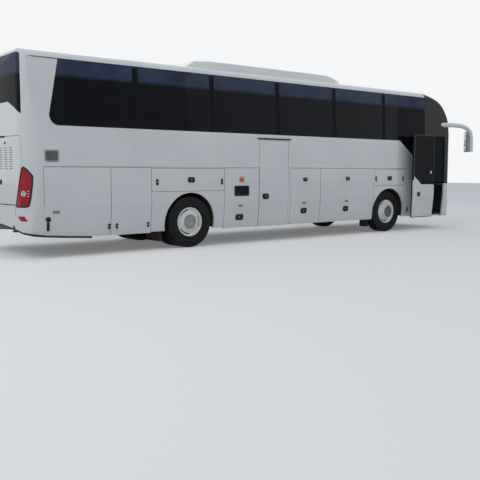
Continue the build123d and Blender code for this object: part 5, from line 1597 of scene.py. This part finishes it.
# mirrors: an arm with a head that holds a main glass above and a wide-angle glass below
print("bending the mirror arms")
mirror = {"arm": [(5.25, 1.15, 2.77), (5.82, 1.36, 2.775), (6.08, 1.465, 2.74), (6.23, 1.53, 2.64),
                  (6.282, 1.555, 2.48), (6.284, 1.556, 2.06)],
          "armR": 0.056, "rootR": 0.068, "taper": 0.75, "bend": 0.16, "turn": radians(25),
          "headX": (6.205, 6.282), "headY": (1.345, 1.55), "headZ": (2.055, 2.615), "corner": 0.05,
          "glassZ": ((2.25, 2.59), (2.08, 2.225)), "glassGap": 0.05, "glassProud": 0.006, "glassThick": 0.008}
arms = bmesh.new()
heads = bmesh.new()
glasses = bmesh.new()
(x0, x1), (y0, y1), (z0, z1) = mirror["headX"], mirror["headY"], mirror["headZ"]
for side in (-1, 1):
    path = roundPath([(x, side * y, z) for x, y, z in mirror["arm"]], mirror["bend"], 6)
    reach = [min((p - path[0]).length / mirror["taper"], 1.0) for p in path]
    addTube(arms, path, [mirror["rootR"] + (mirror["armR"] - mirror["rootR"]) * r for r in reach], 20)
    middle = Vector(((x0 + x1) / 2, side * (y0 + y1) / 2, (z0 + z1) / 2))
    addPrism(heads, roundedBox(middle.y, middle.z, y1 - y0, z1 - z0, mirror["corner"], 6), ("X", x0), x1 - x0)
    for low, high in mirror["glassZ"]:
        wide = y1 - y0 - mirror["glassGap"]
        addPrism(glasses, roundedBox(middle.y, (low + high) / 2, wide, high - low, 0.03, 5),
                 ("X", x0 - mirror["glassProud"]), mirror["glassThick"])
    for part in (heads, glasses):
        bmesh.ops.rotate(part, cent=middle, matrix=Matrix.Rotation(side * mirror["turn"], 3, "Z"),
                         verts=[v for v in part.verts if v.co.y * side > 0])
armPiece = finishPiece("mirrorArms", arms, "coachPaint", "coach_body")
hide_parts("mirrors")
finishPiece("mirrorHeads", heads, "greyPowder", "coach_body", bevel=0.018, segments=4)
finishPiece("mirrorGlasses", glasses, "mirrorSilver", "coach_body", bevel=0.002)


# stage, light and camera
print("setting the stage")
stage = {"floorSize": 160.0, "floorColour": "#DCDCDA", "floorTint": "#D4D4D2", "floorGlow": 0.15,
         "skyColour": "#F4F6F8", "skyTone": "#E3EDF8", "skyLight": 0.42, "keyPower": 720, "fillPower": 200}


def seenRays(tree):
    # 1 where the camera, a reflection or glass looks, 0 where light is gathered
    rays = addNode(tree, "ShaderNodeLightPath").outputs
    seen = addNode(tree, "ShaderNodeMath", {"operation": "MAXIMUM"},
                   {0: rays["Is Camera Ray"], 1: rays["Is Glossy Ray"]}).outputs[0]
    return addNode(tree, "ShaderNodeMath", {"operation": "MAXIMUM"},
                   {0: seen, 1: rays["Is Transmission Ray"]}).outputs[0]


shape = bmesh.new()
bmesh.ops.create_grid(shape, x_segments=1, y_segments=1, size=stage["floorSize"] / 2)
floorMesh = bpy.data.meshes.new("studioFloor")
shape.to_mesh(floorMesh)
shape.free()
studioFloor = bpy.data.objects.new("studioFloor", floorMesh)
bpy.context.scene.collection.objects.link(studioFloor)
floorFinish = makeFinish("floorPaint", stage["floorColour"], stage["floorTint"], 3000, (0.7, 0.9), 30, 0.1)
floorMesh.materials.append(floorFinish)
# what looks at the floor sees it paler than its light makes it, with its shadows kept
floorTree = floorFinish.node_tree
floorShader = floorTree.nodes["Principled BSDF"].outputs[0]
whiteFloor = addNode(floorTree, "ShaderNodeBsdfDiffuse", {"Color": toLinear("#FFFFFF")})
glow = addNode(floorTree, "ShaderNodeEmission",
               {"Color": toLinear("#FFFFFF"), "Strength": stage["floorGlow"]})
litFloor = addNode(floorTree, "ShaderNodeAddShader", links={0: whiteFloor.outputs[0], 1: glow.outputs[0]})
pale = addNode(floorTree, "ShaderNodeMixShader",
               links={0: seenRays(floorTree), 1: floorShader, 2: litFloor.outputs[0]})
floorTree.links.new(pale.outputs[0], floorTree.nodes["Material Output"].inputs["Surface"])

world = bpy.data.worlds.new("studioSky")
bpy.context.scene.world = world
world.use_nodes = True
skyTree = world.node_tree
skyTree.nodes.clear()
lightSky = addNode(skyTree, "ShaderNodeBackground", {"Color": toLinear(stage["skyTone"]),
                                                     "Strength": stage["skyLight"]})
seenSky = addNode(skyTree, "ShaderNodeBackground", {"Color": toLinear(stage["skyColour"]), "Strength": 1.0})
mixedSky = addNode(skyTree, "ShaderNodeMixShader",
                   links={0: seenRays(skyTree), 1: lightSky.outputs[0], 2: seenSky.outputs[0]})
addNode(skyTree, "ShaderNodeOutputWorld", links={0: mixedSky.outputs[0]})

# soft boxes: name, place, size, power, aimed at the middle of the coach
lampTable = [
    ("keyBox", (-16.0, -6.0, 14.0), 12.0, stage["keyPower"]),
    ("fillBox", (12.0, -14.0, 8.0), 10.0, stage["fillPower"]),
    ("backBox", (0.0, 16.0, 12.0), 12.0, stage["fillPower"]),
]
for lampName, place, size, power in lampTable:
    lampData = bpy.data.lights.new(lampName, "AREA")
    lampData.size = size
    lampData.energy = power
    lamp = bpy.data.objects.new(lampName, lampData)
    lamp.location = place
    lamp.rotation_euler = (Vector((0, 0, 1.5)) - Vector(place)).to_track_quat("-Z", "Y").to_euler()
    bpy.context.scene.collection.objects.link(lamp)

view = {"place": (-10.785, -12.75, 1.488), "pitch": -5.49, "heading": -38.625, "lens": 52.5, "sensor": 36.0}
cameraData = bpy.data.cameras.new("camera")
cameraData.lens = view["lens"]
cameraData.sensor_width = view["sensor"]
cameraData.clip_end = 300
camera = bpy.data.objects.new("camera", cameraData)
camera.location = view["place"]
camera.rotation_euler = (radians(90 + view["pitch"]), 0, radians(view["heading"]))
bpy.context.scene.collection.objects.link(camera)
bpy.context.scene.camera = camera
bpy.context.scene.view_settings.view_transform = "Standard"
